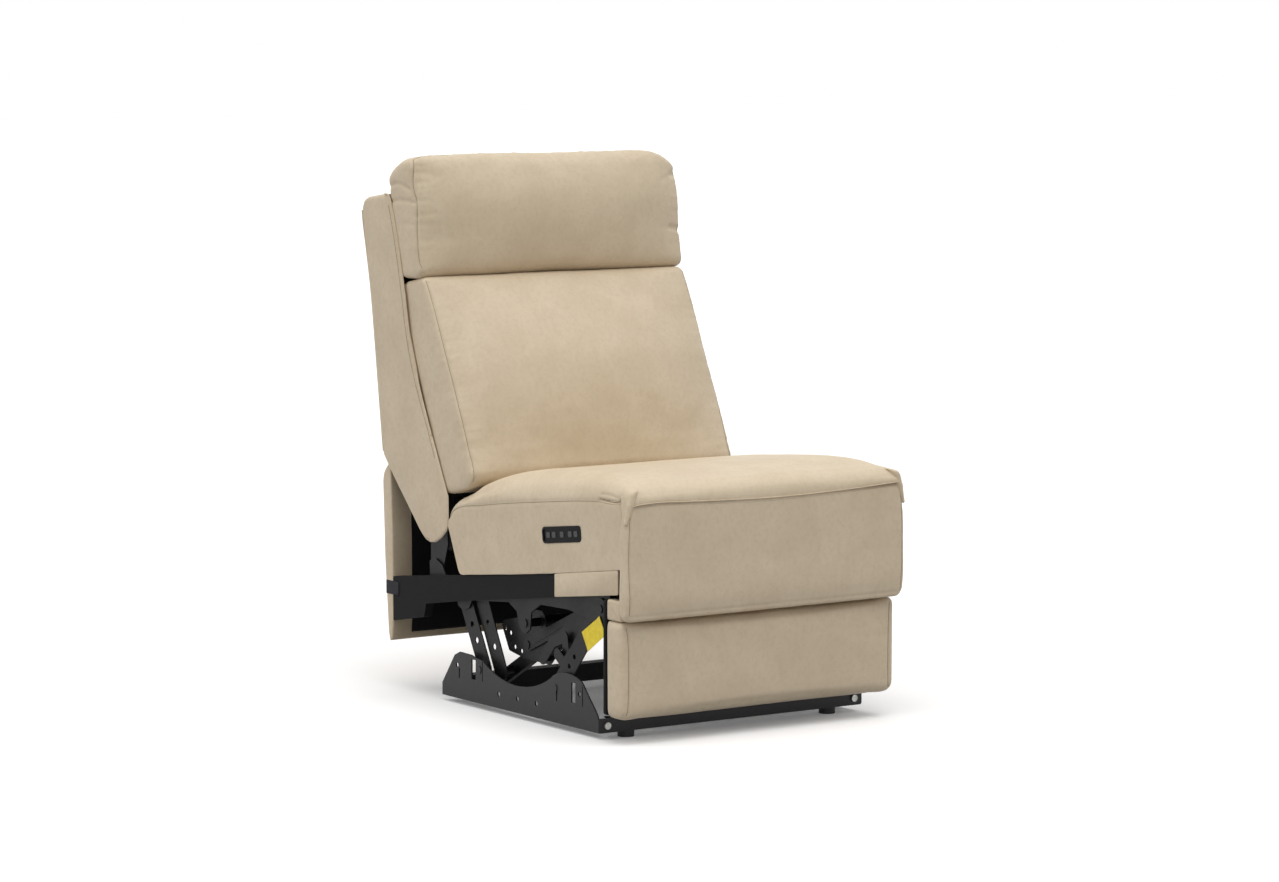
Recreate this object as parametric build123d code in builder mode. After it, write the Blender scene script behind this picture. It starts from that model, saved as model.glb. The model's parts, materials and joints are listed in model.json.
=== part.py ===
from build123d import *
from math import atan2, cos, degrees, hypot, radians, sin
import os

os.makedirs("parts", exist_ok=True)

# Armless power recliner, millimetres.  X across, -Y front, Z up from the floor.
# Side outlines are written as (distance behind the front face, height); MID turns the
# distance into Y, so that the overall box is centred on the origin.

# overall
MID = 464.5                 # half of the overall depth
HALF_SEAT = 302.6           # seat upholstery, half width
SHELL_PASS = 3.4            # the outer back passes this far outside the seat
HALF_SHELL = HALF_SEAT + SHELL_PASS
HALF_BACK = 300.0           # back cushion, half width
HALF_HEAD = 305.0           # headrest, half width
HALF_PANEL = 310.0          # upper front panel, half width
HALF_OTTOMAN = 308.0        # lower ottoman panel, half width
HALF_FLAP = 300.0           # rear flap, half width
SKIN = 3.0                  # leather over thin padding
GAP = 0.3                   # clearance between neighbouring pieces

# timber
FACING = 2.6                # leather facing over the front of the side rails
RAIL_OUT = HALF_SEAT - FACING
PLY = 18.0                  # plywood thickness

# steel
STEEL = 3.0                 # base rails, swing links and seat plates
LINK = 2.5                  # footrest linkage plates
RIVET_R = 4.0
RIVET_GAP = 0.3             # radial, in the hole of the turning link
HEAD_R = 8.0
HEAD_T = 1.5

# layers of the mechanism, outer faces, measured from the middle of the chair
LAYER = LINK + 2.0          # from one footrest link to the next
X_BASE = RAIL_OUT - 8.0     # base rail web
X_SWING = X_BASE - 6.0      # front swing link
X_PLATE = RAIL_OUT - PLY    # seat plate, flat on the side rail
X_REAR = X_PLATE - STEEL - 0.4  # rear swing link, main footrest link and back bracket
X_LONG = X_REAR - LAYER - 2.0   # long ottoman link
X_HANG = X_LONG - LAYER     # ottoman bracket
X_TURN = X_HANG - LAYER     # ottoman turning link
X_SECOND = X_TURN - LAYER   # second footrest link
X_DRIVE = X_SECOND - LAYER  # embossed drive link
X_CRANK = X_DRIVE - LAYER   # crank plate

# pivots (distance behind the front, height)
P_FRONT_FOOT = (267.0, 75.0)
P_FRONT_TOP = (125.0, 238.0)
P_REAR_FOOT = (529.0, 75.0)
P_REAR_TOP = (600.0, 203.0)
P_SECOND = (210.0, 238.0)
P_CRANK = (383.0, 181.0)
P_BACK = (699.0, 246.0)
P_OTTOMAN = (100.0, 258.0)
P_PANEL = (14.0, 433.0)
P_PANEL_Z = P_PANEL[1]
P_HEAD = (745.0, 815.0)

MAIN_LEN = 176.0
MAIN_ANG = -42.6
P_KNEE = (P_FRONT_TOP[0] + MAIN_LEN * cos(radians(MAIN_ANG)), P_FRONT_TOP[1] + MAIN_LEN * sin(radians(MAIN_ANG)))
P_HEEL = (P_KNEE[0] + P_SECOND[0] - P_FRONT_TOP[0], P_KNEE[1] + P_SECOND[1] - P_FRONT_TOP[1])
P_TURN_LOW = (P_KNEE[0] + 29.66 * cos(radians(34.04)), P_KNEE[1] + 29.66 * sin(radians(34.04)))
P_TURN_TOP = (P_OTTOMAN[0] + 51.31 * cos(radians(11.96)), P_OTTOMAN[1] + 51.31 * sin(radians(11.96)))
P_DRIVE_LOW = (P_CRANK[0] + 59.19 * cos(radians(-52.93)), P_CRANK[1] + 59.19 * sin(radians(-52.93)))
P_DRIVE_TOP = (P_SECOND[0] + 36.80 * cos(radians(-40.24)), P_SECOND[1] + 36.80 * sin(radians(-40.24)))

SWING_R = RIVET_R + 1.2     # hole at the open end of the rear swing link
TURN_R = RIVET_R + 2.2      # hole at the open end of the turning link
DRIVE_R = 8.6               # hole at the open end of the drive link
DRIVE_SHIFT = (-2.0, -3.5)


def at(p):
    # side outline point to the plane's own coordinates
    return (p[0] - MID, p[1])


def side(x):
    # plane across the chair at x; its first axis is Y and its second is Z
    return Plane(origin=(x, 0, 0), x_dir=(0, 1, 0), z_dir=(1, 0, 0))


def outline(points):
    # closed polygon from side outline points
    return Polygon(*[at(p) for p in points], align=None)


def bar(p, q, width):
    # round-ended flat bar from p to q
    with Locations(((p[0] + q[0]) / 2 - MID, (p[1] + q[1]) / 2)):
        SlotCenterToCenter(hypot(q[0] - p[0], q[1] - p[1]), width, rotation=degrees(atan2(q[1] - p[1], q[0] - p[0])))


def hole(p, r):
    # round hole in a plate
    with Locations(at(p)):
        Circle(r, mode=Mode.SUBTRACT)


def pin(p, x_from, x_to, r):
    # round pin along X between two positions
    with Locations(((x_from + x_to) / 2, p[0] - MID, p[1])):
        Cylinder(r, abs(x_to - x_from), rotation=(0, 90, 0))


def rivet(p, x_plate, x_far):
    # pin from the plate's face through the neighbour, with a flat head on the far side
    pin(p, x_plate, x_far, RIVET_R)
    step = HEAD_T if x_far > x_plate else -HEAD_T
    pin(p, x_far, x_far + step, HEAD_R)


def stations(half, tuck, crown):
    # sections across a cushion: position, how far its edge is drawn in, how far it is crowned
    table = []
    for f, draw, rise in ((1.0, 1.0, 0.0), (0.975, 0.4, 0.1), (0.93, 0.0, 0.3), (0.6, 0.0, 0.75), (0.25, 0.0, 0.97)):
        table.append((f * half, draw * tuck, rise * crown))
    return [(-x, t, c) for x, t, c in table] + [(x, t, c) for x, t, c in reversed(table)]


# ---------------------------------------------------------------- base

RAIL_FLANGE = 22.0
RAIL_END = 661.0

with BuildPart() as base_rail_left:
    with BuildSketch(side(-X_BASE)):
        with BuildLine():
            Polyline(at((514, 92)), at((521, 94)), at((538, 96)), at((558, 100)), at((598, 101)), at((616, 93)))
            Polyline(at((616, 93)), at((RAIL_END, 35)), at((RAIL_END, 11)), at((122, 11)), at((124, 42)), at((177, 98)))
            ThreePointArc(at((177, 98)), at((222, 108)), at((271, 99)))
            Line(at((271, 99)), at((282, 91)))
            ThreePointArc(at((282, 91)), at((395, 62)), at((514, 92)))
        make_face()
        for window in ((548.5, 73.0, 15.0, 38.0), (205.0, 74.5, 14.0, 37.0)):
            with Locations((window[0] - MID, window[1])):
                Rectangle(window[2], window[3], mode=Mode.SUBTRACT)
        for slot in ((599.5, 60.5, 4.0), (260.5, 61.5, 4.0)):
            with Locations((slot[0] - MID, slot[1])):
                SlotOverall(20.0, slot[2], rotation=92, mode=Mode.SUBTRACT)
        for slit in ((517.0, 73.0), (174.0, 72.0)):
            with Locations((slit[0] - MID, slit[1])):
                Rectangle(2.5, 38.0, mode=Mode.SUBTRACT)
        for spot in ((607.0, 75.0), (185.0, 75.0)):
            hole(spot, 4.5)
        for spot in ((395.0, 38.0), (330.0, 38.0), (460.0, 38.0)):
            hole(spot, 5.0)
    extrude(amount=STEEL)
    with BuildSketch(Plane.XY.offset(11.0)):
        with Locations((-X_BASE + RAIL_FLANGE / 2, 399.0 - MID)):
            Rectangle(RAIL_FLANGE, 514.0)
    extrude(amount=STEEL)
    rivet(P_FRONT_FOOT, -X_BASE, -X_SWING + STEEL + GAP)
    rivet(P_REAR_FOOT, -X_BASE, -X_REAR + LINK + GAP)
    pin(P_FRONT_FOOT, -X_BASE - HEAD_T, -X_BASE, HEAD_R)
    pin(P_REAR_FOOT, -X_BASE - HEAD_T, -X_BASE, HEAD_R)
    pin(P_FRONT_FOOT, -X_BASE + STEEL, -X_SWING - GAP, HEAD_R)
    pin(P_REAR_FOOT, -X_BASE + STEEL, -X_REAR - GAP, HEAD_R)
base_rail_left.part.label = "base_rail_left"
export_step(base_rail_left.part, "parts/base_rail_left.step")

with BuildPart() as base_rail_right:
    add(mirror(base_rail_left.part, about=Plane.YZ))
base_rail_right.part.label = "base_rail_right"
export_step(base_rail_right.part, "parts/base_rail_right.step")

BAR_FRONT = 113.0
BAR_TOP = 39.0
BAR_LOW = 12.0
BAR_MIDDLE = (BAR_LOW + BAR_TOP) / 2
BAR_DEPTH = 24.0
BAR_INSET = 23.0            # shelves of the cross bars end this far inside the base rails
BAR_PLAY = 0.5
with BuildPart() as front_cross_bar:
    with BuildSketch(Plane.XZ.offset(MID - BAR_FRONT)):
        with Locations((0, BAR_MIDDLE)):
            RectangleRounded(2 * (X_BASE + 6.0), BAR_TOP - BAR_LOW, 4.0)
    extrude(amount=-STEEL)
    for level in (BAR_LOW, BAR_TOP - STEEL):
        with BuildSketch(Plane.XY.offset(level)):
            with Locations((0, BAR_FRONT + (BAR_DEPTH + STEEL) / 2 - MID)):
                Rectangle(2 * (X_BASE - BAR_INSET), BAR_DEPTH - STEEL)
        extrude(amount=STEEL)
front_cross_bar.part.label = "front_cross_bar"
export_step(front_cross_bar.part, "parts/front_cross_bar.step")

REAR_BAR = 610.0
with BuildPart() as rear_cross_bar:
    with BuildSketch(Plane.XZ.offset(MID - REAR_BAR)):
        with Locations((0, 34.0)):
            Rectangle(2 * (X_BASE - STEEL - BAR_PLAY), 34.0)
    extrude(amount=-STEEL)
    with BuildSketch(Plane.XY.offset(17.0)):
        with Locations((0, REAR_BAR + 16.5 - MID)):
            Rectangle(2 * (X_BASE - BAR_INSET), 27.0)
    extrude(amount=STEEL)
    with BuildSketch(Plane.XY.offset(48.0)):
        with Locations((0, REAR_BAR + 16.5 - MID)):
            Rectangle(2 * (X_BASE - STEEL - BAR_PLAY), 27.0)
    extrude(amount=STEEL)
rear_cross_bar.part.label = "rear_cross_bar"
export_step(rear_cross_bar.part, "parts/rear_cross_bar.step")

FOOT_X = X_BASE - 64.0
FOOT_R = 17.0
with BuildPart() as glide_feet:
    for spot in ((BAR_FRONT + 15.0, BAR_LOW), (REAR_BAR + 17.0, 17.0)):
        for x in (-FOOT_X, FOOT_X):
            with BuildSketch(Plane.XY):
                with Locations((x, spot[0] - MID)):
                    Circle(FOOT_R - 1.5)
            extrude(amount=spot[1], taper=-1.5)
glide_feet.part.label = "glide_feet"
export_step(glide_feet.part, "parts/glide_feet.step")

BRACKET_X = X_BASE - 13.0
with BuildPart() as cross_bar_bolts:
    for x in (-BRACKET_X, BRACKET_X):
        with Locations((x, BAR_FRONT - 2.0 - MID, BAR_MIDDLE)):
            Cylinder(6.5, 4.0, rotation=(90, 0, 0))
        with Locations((x, REAR_BAR - 2.0 - MID, 36.0)):
            Cylinder(6.5, 4.0, rotation=(90, 0, 0))
cross_bar_bolts.part.label = "cross_bar_bolts"
export_step(cross_bar_bolts.part, "parts/cross_bar_bolts.step")

with BuildPart() as corner_brackets:
    for s in (-1, 1):
        x_web = s * (X_BASE - STEEL - LINK / 2)
        for face, level, run in ((BAR_FRONT + STEEL, BAR_MIDDLE, 40.0), (REAR_BAR + STEEL, 34.0, 34.0)):
            with BuildSketch(Plane.XZ.offset(MID - face)):
                with Locations((x_web, level)):
                    Rectangle(LINK, 20.0)
                with Locations((x_web - s * 10.0, level)):
                    Rectangle(18.0, 20.0)
            extrude(amount=-LINK)
            with BuildSketch(Plane.XZ.offset(MID - face)):
                with Locations((x_web, level)):
                    Rectangle(LINK, 20.0)
            extrude(amount=-run)
corner_brackets.part.label = "corner_brackets"
export_step(corner_brackets.part, "parts/corner_brackets.step")

# ---------------------------------------------------------------- glide links

with BuildPart() as front_swing_links:
    with BuildSketch(side(-X_SWING)):
        bar(P_FRONT_FOOT, P_FRONT_TOP, 40.0)
        hole(P_FRONT_FOOT, RIVET_R + RIVET_GAP)
        hole(P_FRONT_TOP, RIVET_R + RIVET_GAP)
        for t in (0.28, 0.40, 0.80):
            spot = (
                P_FRONT_FOOT[0] + t * (P_FRONT_TOP[0] - P_FRONT_FOOT[0]),
                P_FRONT_FOOT[1] + t * (P_FRONT_TOP[1] - P_FRONT_FOOT[1]),
            )
            hole(spot, 5.0)
    extrude(amount=STEEL)
    mirror(about=Plane.YZ)
front_swing_links.part.label = "front_swing_links"
export_step(front_swing_links.part, "parts/front_swing_links.step")

with BuildPart() as rear_swing_links:
    with BuildSketch(side(-X_REAR)):
        bar(P_REAR_FOOT, P_REAR_TOP, 42.0)
        hole(P_REAR_FOOT, RIVET_R + RIVET_GAP)
        hole(P_REAR_TOP, SWING_R)
        hole((558.0, 127.0), 6.0)
        hole((574.0, 156.0), 6.0)
    extrude(amount=LINK)
    mirror(about=Plane.YZ)
rear_swing_links.part.label = "rear_swing_links"
export_step(rear_swing_links.part, "parts/rear_swing_links.step")

# ---------------------------------------------------------------- seat frame

RAIL_TOP = ((43.0, 318.7), (268.0, 287.7), (572.0, 250.7), (828.0, 220.5))
RAIL_BOTTOM = ((828.0, 134.0), (714.0, 155.0), (706.0, 181.0), (580.0, 201.0), (254.0, 246.0), (43.0, 274.0))

with BuildPart() as side_rail_left:
    with BuildSketch(side(-RAIL_OUT)):
        outline(RAIL_TOP + RAIL_BOTTOM)
    extrude(amount=PLY)
    fillet(side_rail_left.edges().filter_by(Axis.X).sort_by(Axis.Y)[-1], 3.0)
side_rail_left.part.label = "side_rail_left"
export_step(side_rail_left.part, "parts/side_rail_left.step")

with BuildPart() as side_rail_right:
    add(mirror(side_rail_left.part, about=Plane.YZ))
side_rail_right.part.label = "side_rail_right"
export_step(side_rail_right.part, "parts/side_rail_right.step")

INNER = RAIL_OUT - PLY
with BuildPart() as front_rail:
    with BuildSketch(side(-INNER)):
        outline(((45.0, 316.8), (63.0, 314.3), (63.0, 274.5), (45.0, 276.9)))
    extrude(amount=2 * INNER)
front_rail.part.label = "front_rail"
export_step(front_rail.part, "parts/front_rail.step")

with BuildPart() as rear_rail:
    with BuildSketch(side(-INNER + STEEL + GAP)):
        outline(((612.0, 244.2), (630.0, 242.0), (630.0, 226.0), (612.0, 228.0)))
    extrude(amount=2 * (INNER - STEEL - GAP))
rear_rail.part.label = "rear_rail"
export_step(rear_rail.part, "parts/rear_rail.step")

PLATE_EDGE = (
    (100.0, 284.0), (98.0, 232.0), (112.0, 218.0), (150.0, 216.0), (240.0, 224.0), (330.0, 222.0),
    (362.0, 204.0), (366.0, 172.0), (383.0, 160.0), (402.0, 170.0), (412.0, 200.0), (440.0, 214.0),
    (570.0, 202.0), (580.0, 186.0), (600.0, 180.0), (618.0, 186.0), (628.0, 208.0), (672.0, 206.0),
    (690.0, 224.0), (720.0, 228.0), (722.0, 262.0), (700.0, 268.0), (676.0, 258.0), (660.0, 236.0),
    (560.0, 248.0), (280.0, 282.0),
)
with BuildPart() as seat_plates:
    with BuildSketch(side(-X_PLATE)) as plate_shape:
        outline(PLATE_EDGE)
        fillet(plate_shape.vertices(), 5.0)
        hole((270.0, 252.0), 4.0)
        hole((470.0, 228.0), 4.0)
    extrude(amount=STEEL)
    rivet(P_FRONT_TOP, -X_PLATE, -X_REAR + LINK + GAP)
    rivet(P_FRONT_TOP, -X_PLATE, -X_SWING - GAP)
    rivet(P_SECOND, -X_PLATE, -X_SECOND + LINK + GAP)
    rivet(P_REAR_TOP, -X_PLATE, -X_REAR + LINK + GAP)
    rivet(P_BACK, -X_PLATE, -X_REAR + LINK + GAP)
    pin(P_SECOND, -X_PLATE + STEEL, -X_SECOND - GAP, RIVET_R + 2.0)
    pin(P_CRANK, -X_PLATE - 2.0, -X_CRANK + LINK + GAP + 6.0, 8.0)
    mirror(about=Plane.YZ)
seat_plates.part.label = "seat_plates"
export_step(seat_plates.part, "parts/seat_plates.step")

X_HANGER = X_PLATE - 8.5
P_HANG_TOP = (552.0, 214.0)
P_HANG_LOW = (482.0, 78.0)
X_BRACE = X_CRANK - 6.6
with BuildPart() as hangers:
    with BuildSketch(side(-X_HANGER)):
        bar(P_HANG_TOP, P_HANG_LOW, 42.0)
        hole((504.0, 121.0), 6.0)
        hole((527.0, 165.0), 5.0)
    extrude(amount=LINK)
    pin(P_HANG_TOP, -X_PLATE + STEEL, -X_HANGER, HEAD_R)
    pin(P_HANG_TOP, -X_HANGER + LINK, -X_HANGER + LINK + 5.0, 7.0)
    pin(P_HANG_LOW, -X_HANGER - 1.2, -X_BRACE, 7.0)
    mirror(about=Plane.YZ)
hangers.part.label = "hangers"
export_step(hangers.part, "parts/hangers.step")

BRACE_TAIL = (537.0, 50.0)
BRACE_NOSE = (313.0, 171.0)
with BuildPart() as brace_channels:
    with BuildSketch(side(-X_BRACE)):
        bar(BRACE_TAIL, BRACE_NOSE, 26.0)
    extrude(amount=LINK)
    with BuildSketch(side(-X_BRACE + LINK)):
        bar(BRACE_TAIL, BRACE_NOSE, 26.0)
        bar(BRACE_TAIL, BRACE_NOSE, 21.0)
    extrude(amount=8.0)
    with BuildSketch(side(-X_BRACE + LINK)):
        bar(BRACE_TAIL, BRACE_NOSE, 21.0)
    extrude(amount=8.0, mode=Mode.SUBTRACT)
    mirror(about=Plane.YZ)
brace_channels.part.label = "brace_channels"
export_step(brace_channels.part, "parts/brace_channels.step")

TUBE_R = 9.0
with BuildPart() as brace_tube:
    pin((316.0, 169.4), -X_BRACE + LINK, X_BRACE - LINK, TUBE_R)
brace_tube.part.label = "brace_tube"
export_step(brace_tube.part, "parts/brace_tube.step")

with BuildPart() as seat_webbing:
    for x in (-190.0, -64.0, 62.0, 188.0):
        with BuildSketch(side(x - 25.0)):
            outline((
                (46.0, 318.2), (268.0, 287.5), (572.0, 250.5), (629.0, 243.7),
                (629.0, 242.3), (572.0, 249.2), (268.0, 286.2), (46.0, 316.9),
            ))
        extrude(amount=50.0)
seat_webbing.part.label = "seat_webbing"
export_step(seat_webbing.part, "parts/seat_webbing.step")

with BuildPart() as actuator_rail:
    with BuildSketch(side(-14.0)):
        outline(((611.8, 242.0), (611.8, 229.0), (485.0, 206.0), (485.0, 219.0)))
    extrude(amount=28.0)
actuator_rail.part.label = "actuator_rail"
export_step(actuator_rail.part, "parts/actuator_rail.step")

with BuildPart() as actuator_motor:
    with BuildSketch(side(-30.0)):
        outline(((425.0, 214.0), (485.0, 219.0), (485.0, 160.0), (425.0, 160.0)))
    extrude(amount=60.0)
    fillet(actuator_motor.edges().filter_by(Axis.X), 6.0)
    with Locations((0, 535.0 - MID, 180.0)):
        Cylinder(22.0, 100.0, rotation=(90, 0, 0))
actuator_motor.part.label = "actuator_motor"
export_step(actuator_motor.part, "parts/actuator_motor.step")

# ---------------------------------------------------------------- footrest linkage

with BuildPart() as main_links:
    with BuildSketch(side(-X_REAR)):
        bar(P_FRONT_TOP, P_KNEE, 24.0)
        bar(P_KNEE, P_TURN_LOW, 22.0)
        hole(P_FRONT_TOP, RIVET_R + RIVET_GAP)
    extrude(amount=LINK)
    pin(P_KNEE, -X_REAR + LINK, -X_LONG - GAP, RIVET_R + 2.0)
    rivet(P_KNEE, -X_REAR, -X_LONG + LINK + GAP)
    pin(P_TURN_LOW, -X_REAR + LINK, -X_TURN - GAP, RIVET_R + 2.0)
    rivet(P_TURN_LOW, -X_REAR, -X_TURN + LINK + GAP)
    mirror(about=Plane.YZ)
main_links.part.label = "main_links"
export_step(main_links.part, "parts/main_links.step")

with BuildPart() as turning_links:
    with BuildSketch(side(-X_TURN)):
        bar(P_TURN_LOW, P_TURN_TOP, 20.0)
        with Locations(at(P_TURN_TOP)):
            Circle(11.5)
        hole(P_TURN_LOW, RIVET_R + RIVET_GAP)
        hole(P_TURN_TOP, TURN_R)
    extrude(amount=LINK)
    mirror(about=Plane.YZ)
turning_links.part.label = "turning_links"
export_step(turning_links.part, "parts/turning_links.step")

# the long link arches over the pin that the turning link hangs on
ARCH_RISE = (P_KNEE[0] + 10.0, P_KNEE[1] + 50.0)
ARCH_FALL = (P_KNEE[0] + 50.0, P_KNEE[1] + 36.0)
with BuildPart() as long_links:
    with BuildSketch(side(-X_LONG)):
        bar(P_KNEE, ARCH_RISE, 20.0)
        bar(ARCH_RISE, ARCH_FALL, 20.0)
        bar(ARCH_FALL, P_HEEL, 22.0)
        bar(P_KNEE, P_OTTOMAN, 24.0)
        hole(P_KNEE, RIVET_R + RIVET_GAP)
        hole(P_OTTOMAN, RIVET_R + RIVET_GAP)
    extrude(amount=LINK)
    pin(P_HEEL, -X_LONG + LINK, -X_SECOND - GAP, RIVET_R + 2.0)
    rivet(P_HEEL, -X_LONG, -X_SECOND + LINK + GAP)
    mirror(about=Plane.YZ)
long_links.part.label = "long_links"
export_step(long_links.part, "parts/long_links.step")

with BuildPart() as second_links:
    with BuildSketch(side(-X_SECOND)):
        bar(P_SECOND, P_HEEL, 26.0)
        bar(P_SECOND, P_DRIVE_TOP, 26.0)
        hole(P_SECOND, RIVET_R + RIVET_GAP)
        hole(P_HEEL, RIVET_R + RIVET_GAP)
    extrude(amount=LINK)
    pin(P_DRIVE_TOP, -X_SECOND + LINK, -X_DRIVE + LINK + GAP, RIVET_R)
    pin(P_DRIVE_TOP, -X_DRIVE + LINK + GAP, -X_DRIVE + LINK + GAP + HEAD_T, 13.5)
    mirror(about=Plane.YZ)
second_links.part.label = "second_links"
export_step(second_links.part, "parts/second_links.step")

DRIVE_END = (P_DRIVE_TOP[0] + DRIVE_SHIFT[0], P_DRIVE_TOP[1] + DRIVE_SHIFT[1])
with BuildPart() as drive_links:
    with BuildSketch(side(-X_DRIVE)):
        bar(P_DRIVE_LOW, DRIVE_END, 24.0)
        with Locations(at(DRIVE_END)):
            Circle(14.5)
        hole(P_DRIVE_LOW, RIVET_R + RIVET_GAP)
        hole(DRIVE_END, DRIVE_R)
    extrude(amount=LINK)
    with BuildSketch(side(-X_DRIVE)):
        bar((392.0, 144.5), (274.0, 198.5), 10.0)
    extrude(amount=-0.9)
    mirror(about=Plane.YZ)
drive_links.part.label = "drive_links"
export_step(drive_links.part, "parts/drive_links.step")

CRANK_EDGE = (
    (362.0, 190.0), (374.0, 202.0), (396.0, 202.0), (430.0, 186.0), (506.0, 170.0), (514.0, 158.0),
    (505.0, 142.0), (489.0, 114.0), (440.0, 106.0), (360.0, 104.0), (343.0, 126.0), (362.0, 150.0),
)
TORQUE_R = 12.0
with BuildPart() as crank_plates:
    with BuildSketch(side(-X_CRANK)) as crank_shape:
        outline(CRANK_EDGE)
        fillet(crank_shape.vertices(), 6.0)
        for spot in ((502.0, 155.0), (484.0, 148.0), (469.0, 123.0), (446.0, 118.0), (360.0, 120.0)):
            hole(spot, 4.5)
        hole(P_CRANK, TORQUE_R)
    extrude(amount=LINK)
    rivet(P_DRIVE_LOW, -X_CRANK, -X_DRIVE - GAP)
    mirror(about=Plane.YZ)
crank_plates.part.label = "crank_plates"
export_step(crank_plates.part, "parts/crank_plates.step")

CRANK_PIN_R = 8.0
with BuildPart() as torque_tube:
    pin(P_CRANK, -X_CRANK - 1.0, X_CRANK + 1.0, TORQUE_R)
    with Locations((0, P_CRANK[0] - MID, P_CRANK[1])):
        Cylinder(CRANK_PIN_R + RIVET_GAP, 2 * X_CRANK + 10.0, rotation=(0, 90, 0), mode=Mode.SUBTRACT)
torque_tube.part.label = "torque_tube"
export_step(torque_tube.part, "parts/torque_tube.step")

BOARD_FRONT = 76.0
BOARD_BACK = 88.0
with BuildPart() as ottoman_brackets:
    with BuildSketch(side(-X_HANG)):
        outline(((BOARD_BACK, 72.0), (104.0, 78.0), (106.0, 246.0), (BOARD_BACK, 252.0)))
        with Locations(at(P_OTTOMAN)):
            Circle(11.5)
        bar(P_OTTOMAN, P_TURN_TOP, 19.0)
    extrude(amount=LINK)
    with BuildSketch(Plane.XZ.offset(MID - BOARD_BACK)):
        with Locations((-X_HANG + 11.0, 150.0)):
            Rectangle(22.0, 150.0)
        for z in (90.0, 150.0, 210.0):
            with Locations((-X_HANG + 13.0, z)):
                Circle(3.0, mode=Mode.SUBTRACT)
    extrude(amount=-LINK)
    rivet(P_OTTOMAN, -X_HANG + LINK, -X_LONG - GAP)
    rivet(P_TURN_TOP, -X_HANG, -X_TURN + LINK + GAP)
    mirror(about=Plane.YZ)
ottoman_brackets.part.label = "ottoman_brackets"
export_step(ottoman_brackets.part, "parts/ottoman_brackets.step")

HALF_BOARD = HALF_OTTOMAN - 20.0
with BuildPart() as ottoman_board:
    with BuildSketch(side(-HALF_BOARD)):
        outline(((BOARD_FRONT, 62.0), (BOARD_BACK, 62.0), (BOARD_BACK, 262.0), (BOARD_FRONT, 262.0)))
    extrude(amount=2 * HALF_BOARD)
ottoman_board.part.label = "ottoman_board"
export_step(ottoman_board.part, "parts/ottoman_board.step")

# ---------------------------------------------------------------- upholstery of the footrest

OTTO_FRONT = 24.0
with BuildPart() as ottoman_pad:
    for x, tuck, crown in stations(HALF_OTTOMAN, 7.0, 5.0):
        with BuildSketch(side(x)):
            with BuildLine():
                Line(at((BOARD_FRONT, 45.0 + tuck)), at((OTTO_FRONT + 26.0, 45.0 + tuck)))
                ThreePointArc(
                    at((OTTO_FRONT + 26.0, 45.0 + tuck)),
                    at((OTTO_FRONT + 9.0, 54.0 + tuck)),
                    at((OTTO_FRONT + tuck, 72.0)),
                )
                ThreePointArc(
                    at((OTTO_FRONT + tuck, 72.0)),
                    at((OTTO_FRONT + tuck - 1.0 - crown, 140.0)),
                    at((OTTO_FRONT + tuck, 208.0)),
                )
                ThreePointArc(
                    at((OTTO_FRONT + tuck, 208.0)),
                    at((OTTO_FRONT + tuck + 5.0, 220.0 - tuck / 2)),
                    at((OTTO_FRONT + tuck + 16.0, 225.0 - tuck)),
                )
                Line(at((OTTO_FRONT + tuck + 16.0, 225.0 - tuck)), at((BOARD_FRONT, 225.0 - tuck)))
                Line(at((BOARD_FRONT, 225.0 - tuck)), at((BOARD_FRONT, 45.0 + tuck)))
            make_face()
    loft(ruled=True)
ottoman_pad.part.label = "ottoman_pad"
export_step(ottoman_pad.part, "parts/ottoman_pad.step")

with BuildPart() as ottoman_bridge:
    with BuildSketch(side(-HALF_PANEL + 5.0)) as bridge_shape:
        outline(((32.0, 226.0), (BOARD_FRONT, 226.0), (BOARD_FRONT, 264.0), (32.0, 264.0)))
        fillet(bridge_shape.vertices().sort_by(Axis.Y)[:2], 8.0)
    extrude(amount=2 * (HALF_PANEL - 5.0))
    fillet(ottoman_bridge.edges().group_by(Axis.X)[0] + ottoman_bridge.edges().group_by(Axis.X)[-1], 3.0)
ottoman_bridge.part.label = "ottoman_bridge"
export_step(ottoman_bridge.part, "parts/ottoman_bridge.step")

PANEL_R = 14.0
with BuildPart() as upper_panel:
    for x, tuck, crown in stations(HALF_PANEL, 4.0, 2.5):
        low = 229.0 + tuck
        with BuildSketch(side(x)):
            with BuildLine():
                ThreePointArc(
                    at((2 * PANEL_R, P_PANEL_Z)),
                    at((PANEL_R, P_PANEL_Z + PANEL_R - tuck / 4)),
                    at((0.8 + tuck, P_PANEL_Z)),
                )
                ThreePointArc(at((0.8 + tuck, P_PANEL_Z)), at((2.5 - crown + tuck, 335.0)), at((3.0 + tuck, low + 8.0)))
                ThreePointArc(at((3.0 + tuck, low + 8.0)), at((5.5 + tuck, low + 2.4)), at((11.0 + tuck, low)))
                Line(at((11.0 + tuck, low)), at((20.0, low)))
                ThreePointArc(at((20.0, low)), at((25.6, low + 2.4)), at((2 * PANEL_R, low + 8.0)))
                Line(at((2 * PANEL_R, low + 8.0)), at((2 * PANEL_R, P_PANEL_Z)))
            make_face()
    loft(ruled=True)
upper_panel.part.label = "upper_panel"
export_step(upper_panel.part, "parts/upper_panel.step")

# ---------------------------------------------------------------- seat upholstery

SEAT_FRONT = 28.4
PANEL_C = (226.0, 365.0)    # control panel centre
PANEL_TILT = -7.0
PANEL_L = 130.0
PANEL_H = 30.0
PANEL_OUT = HALF_SEAT + 1.0
PANEL_FLOOR = HALF_SEAT - 6.2

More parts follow.
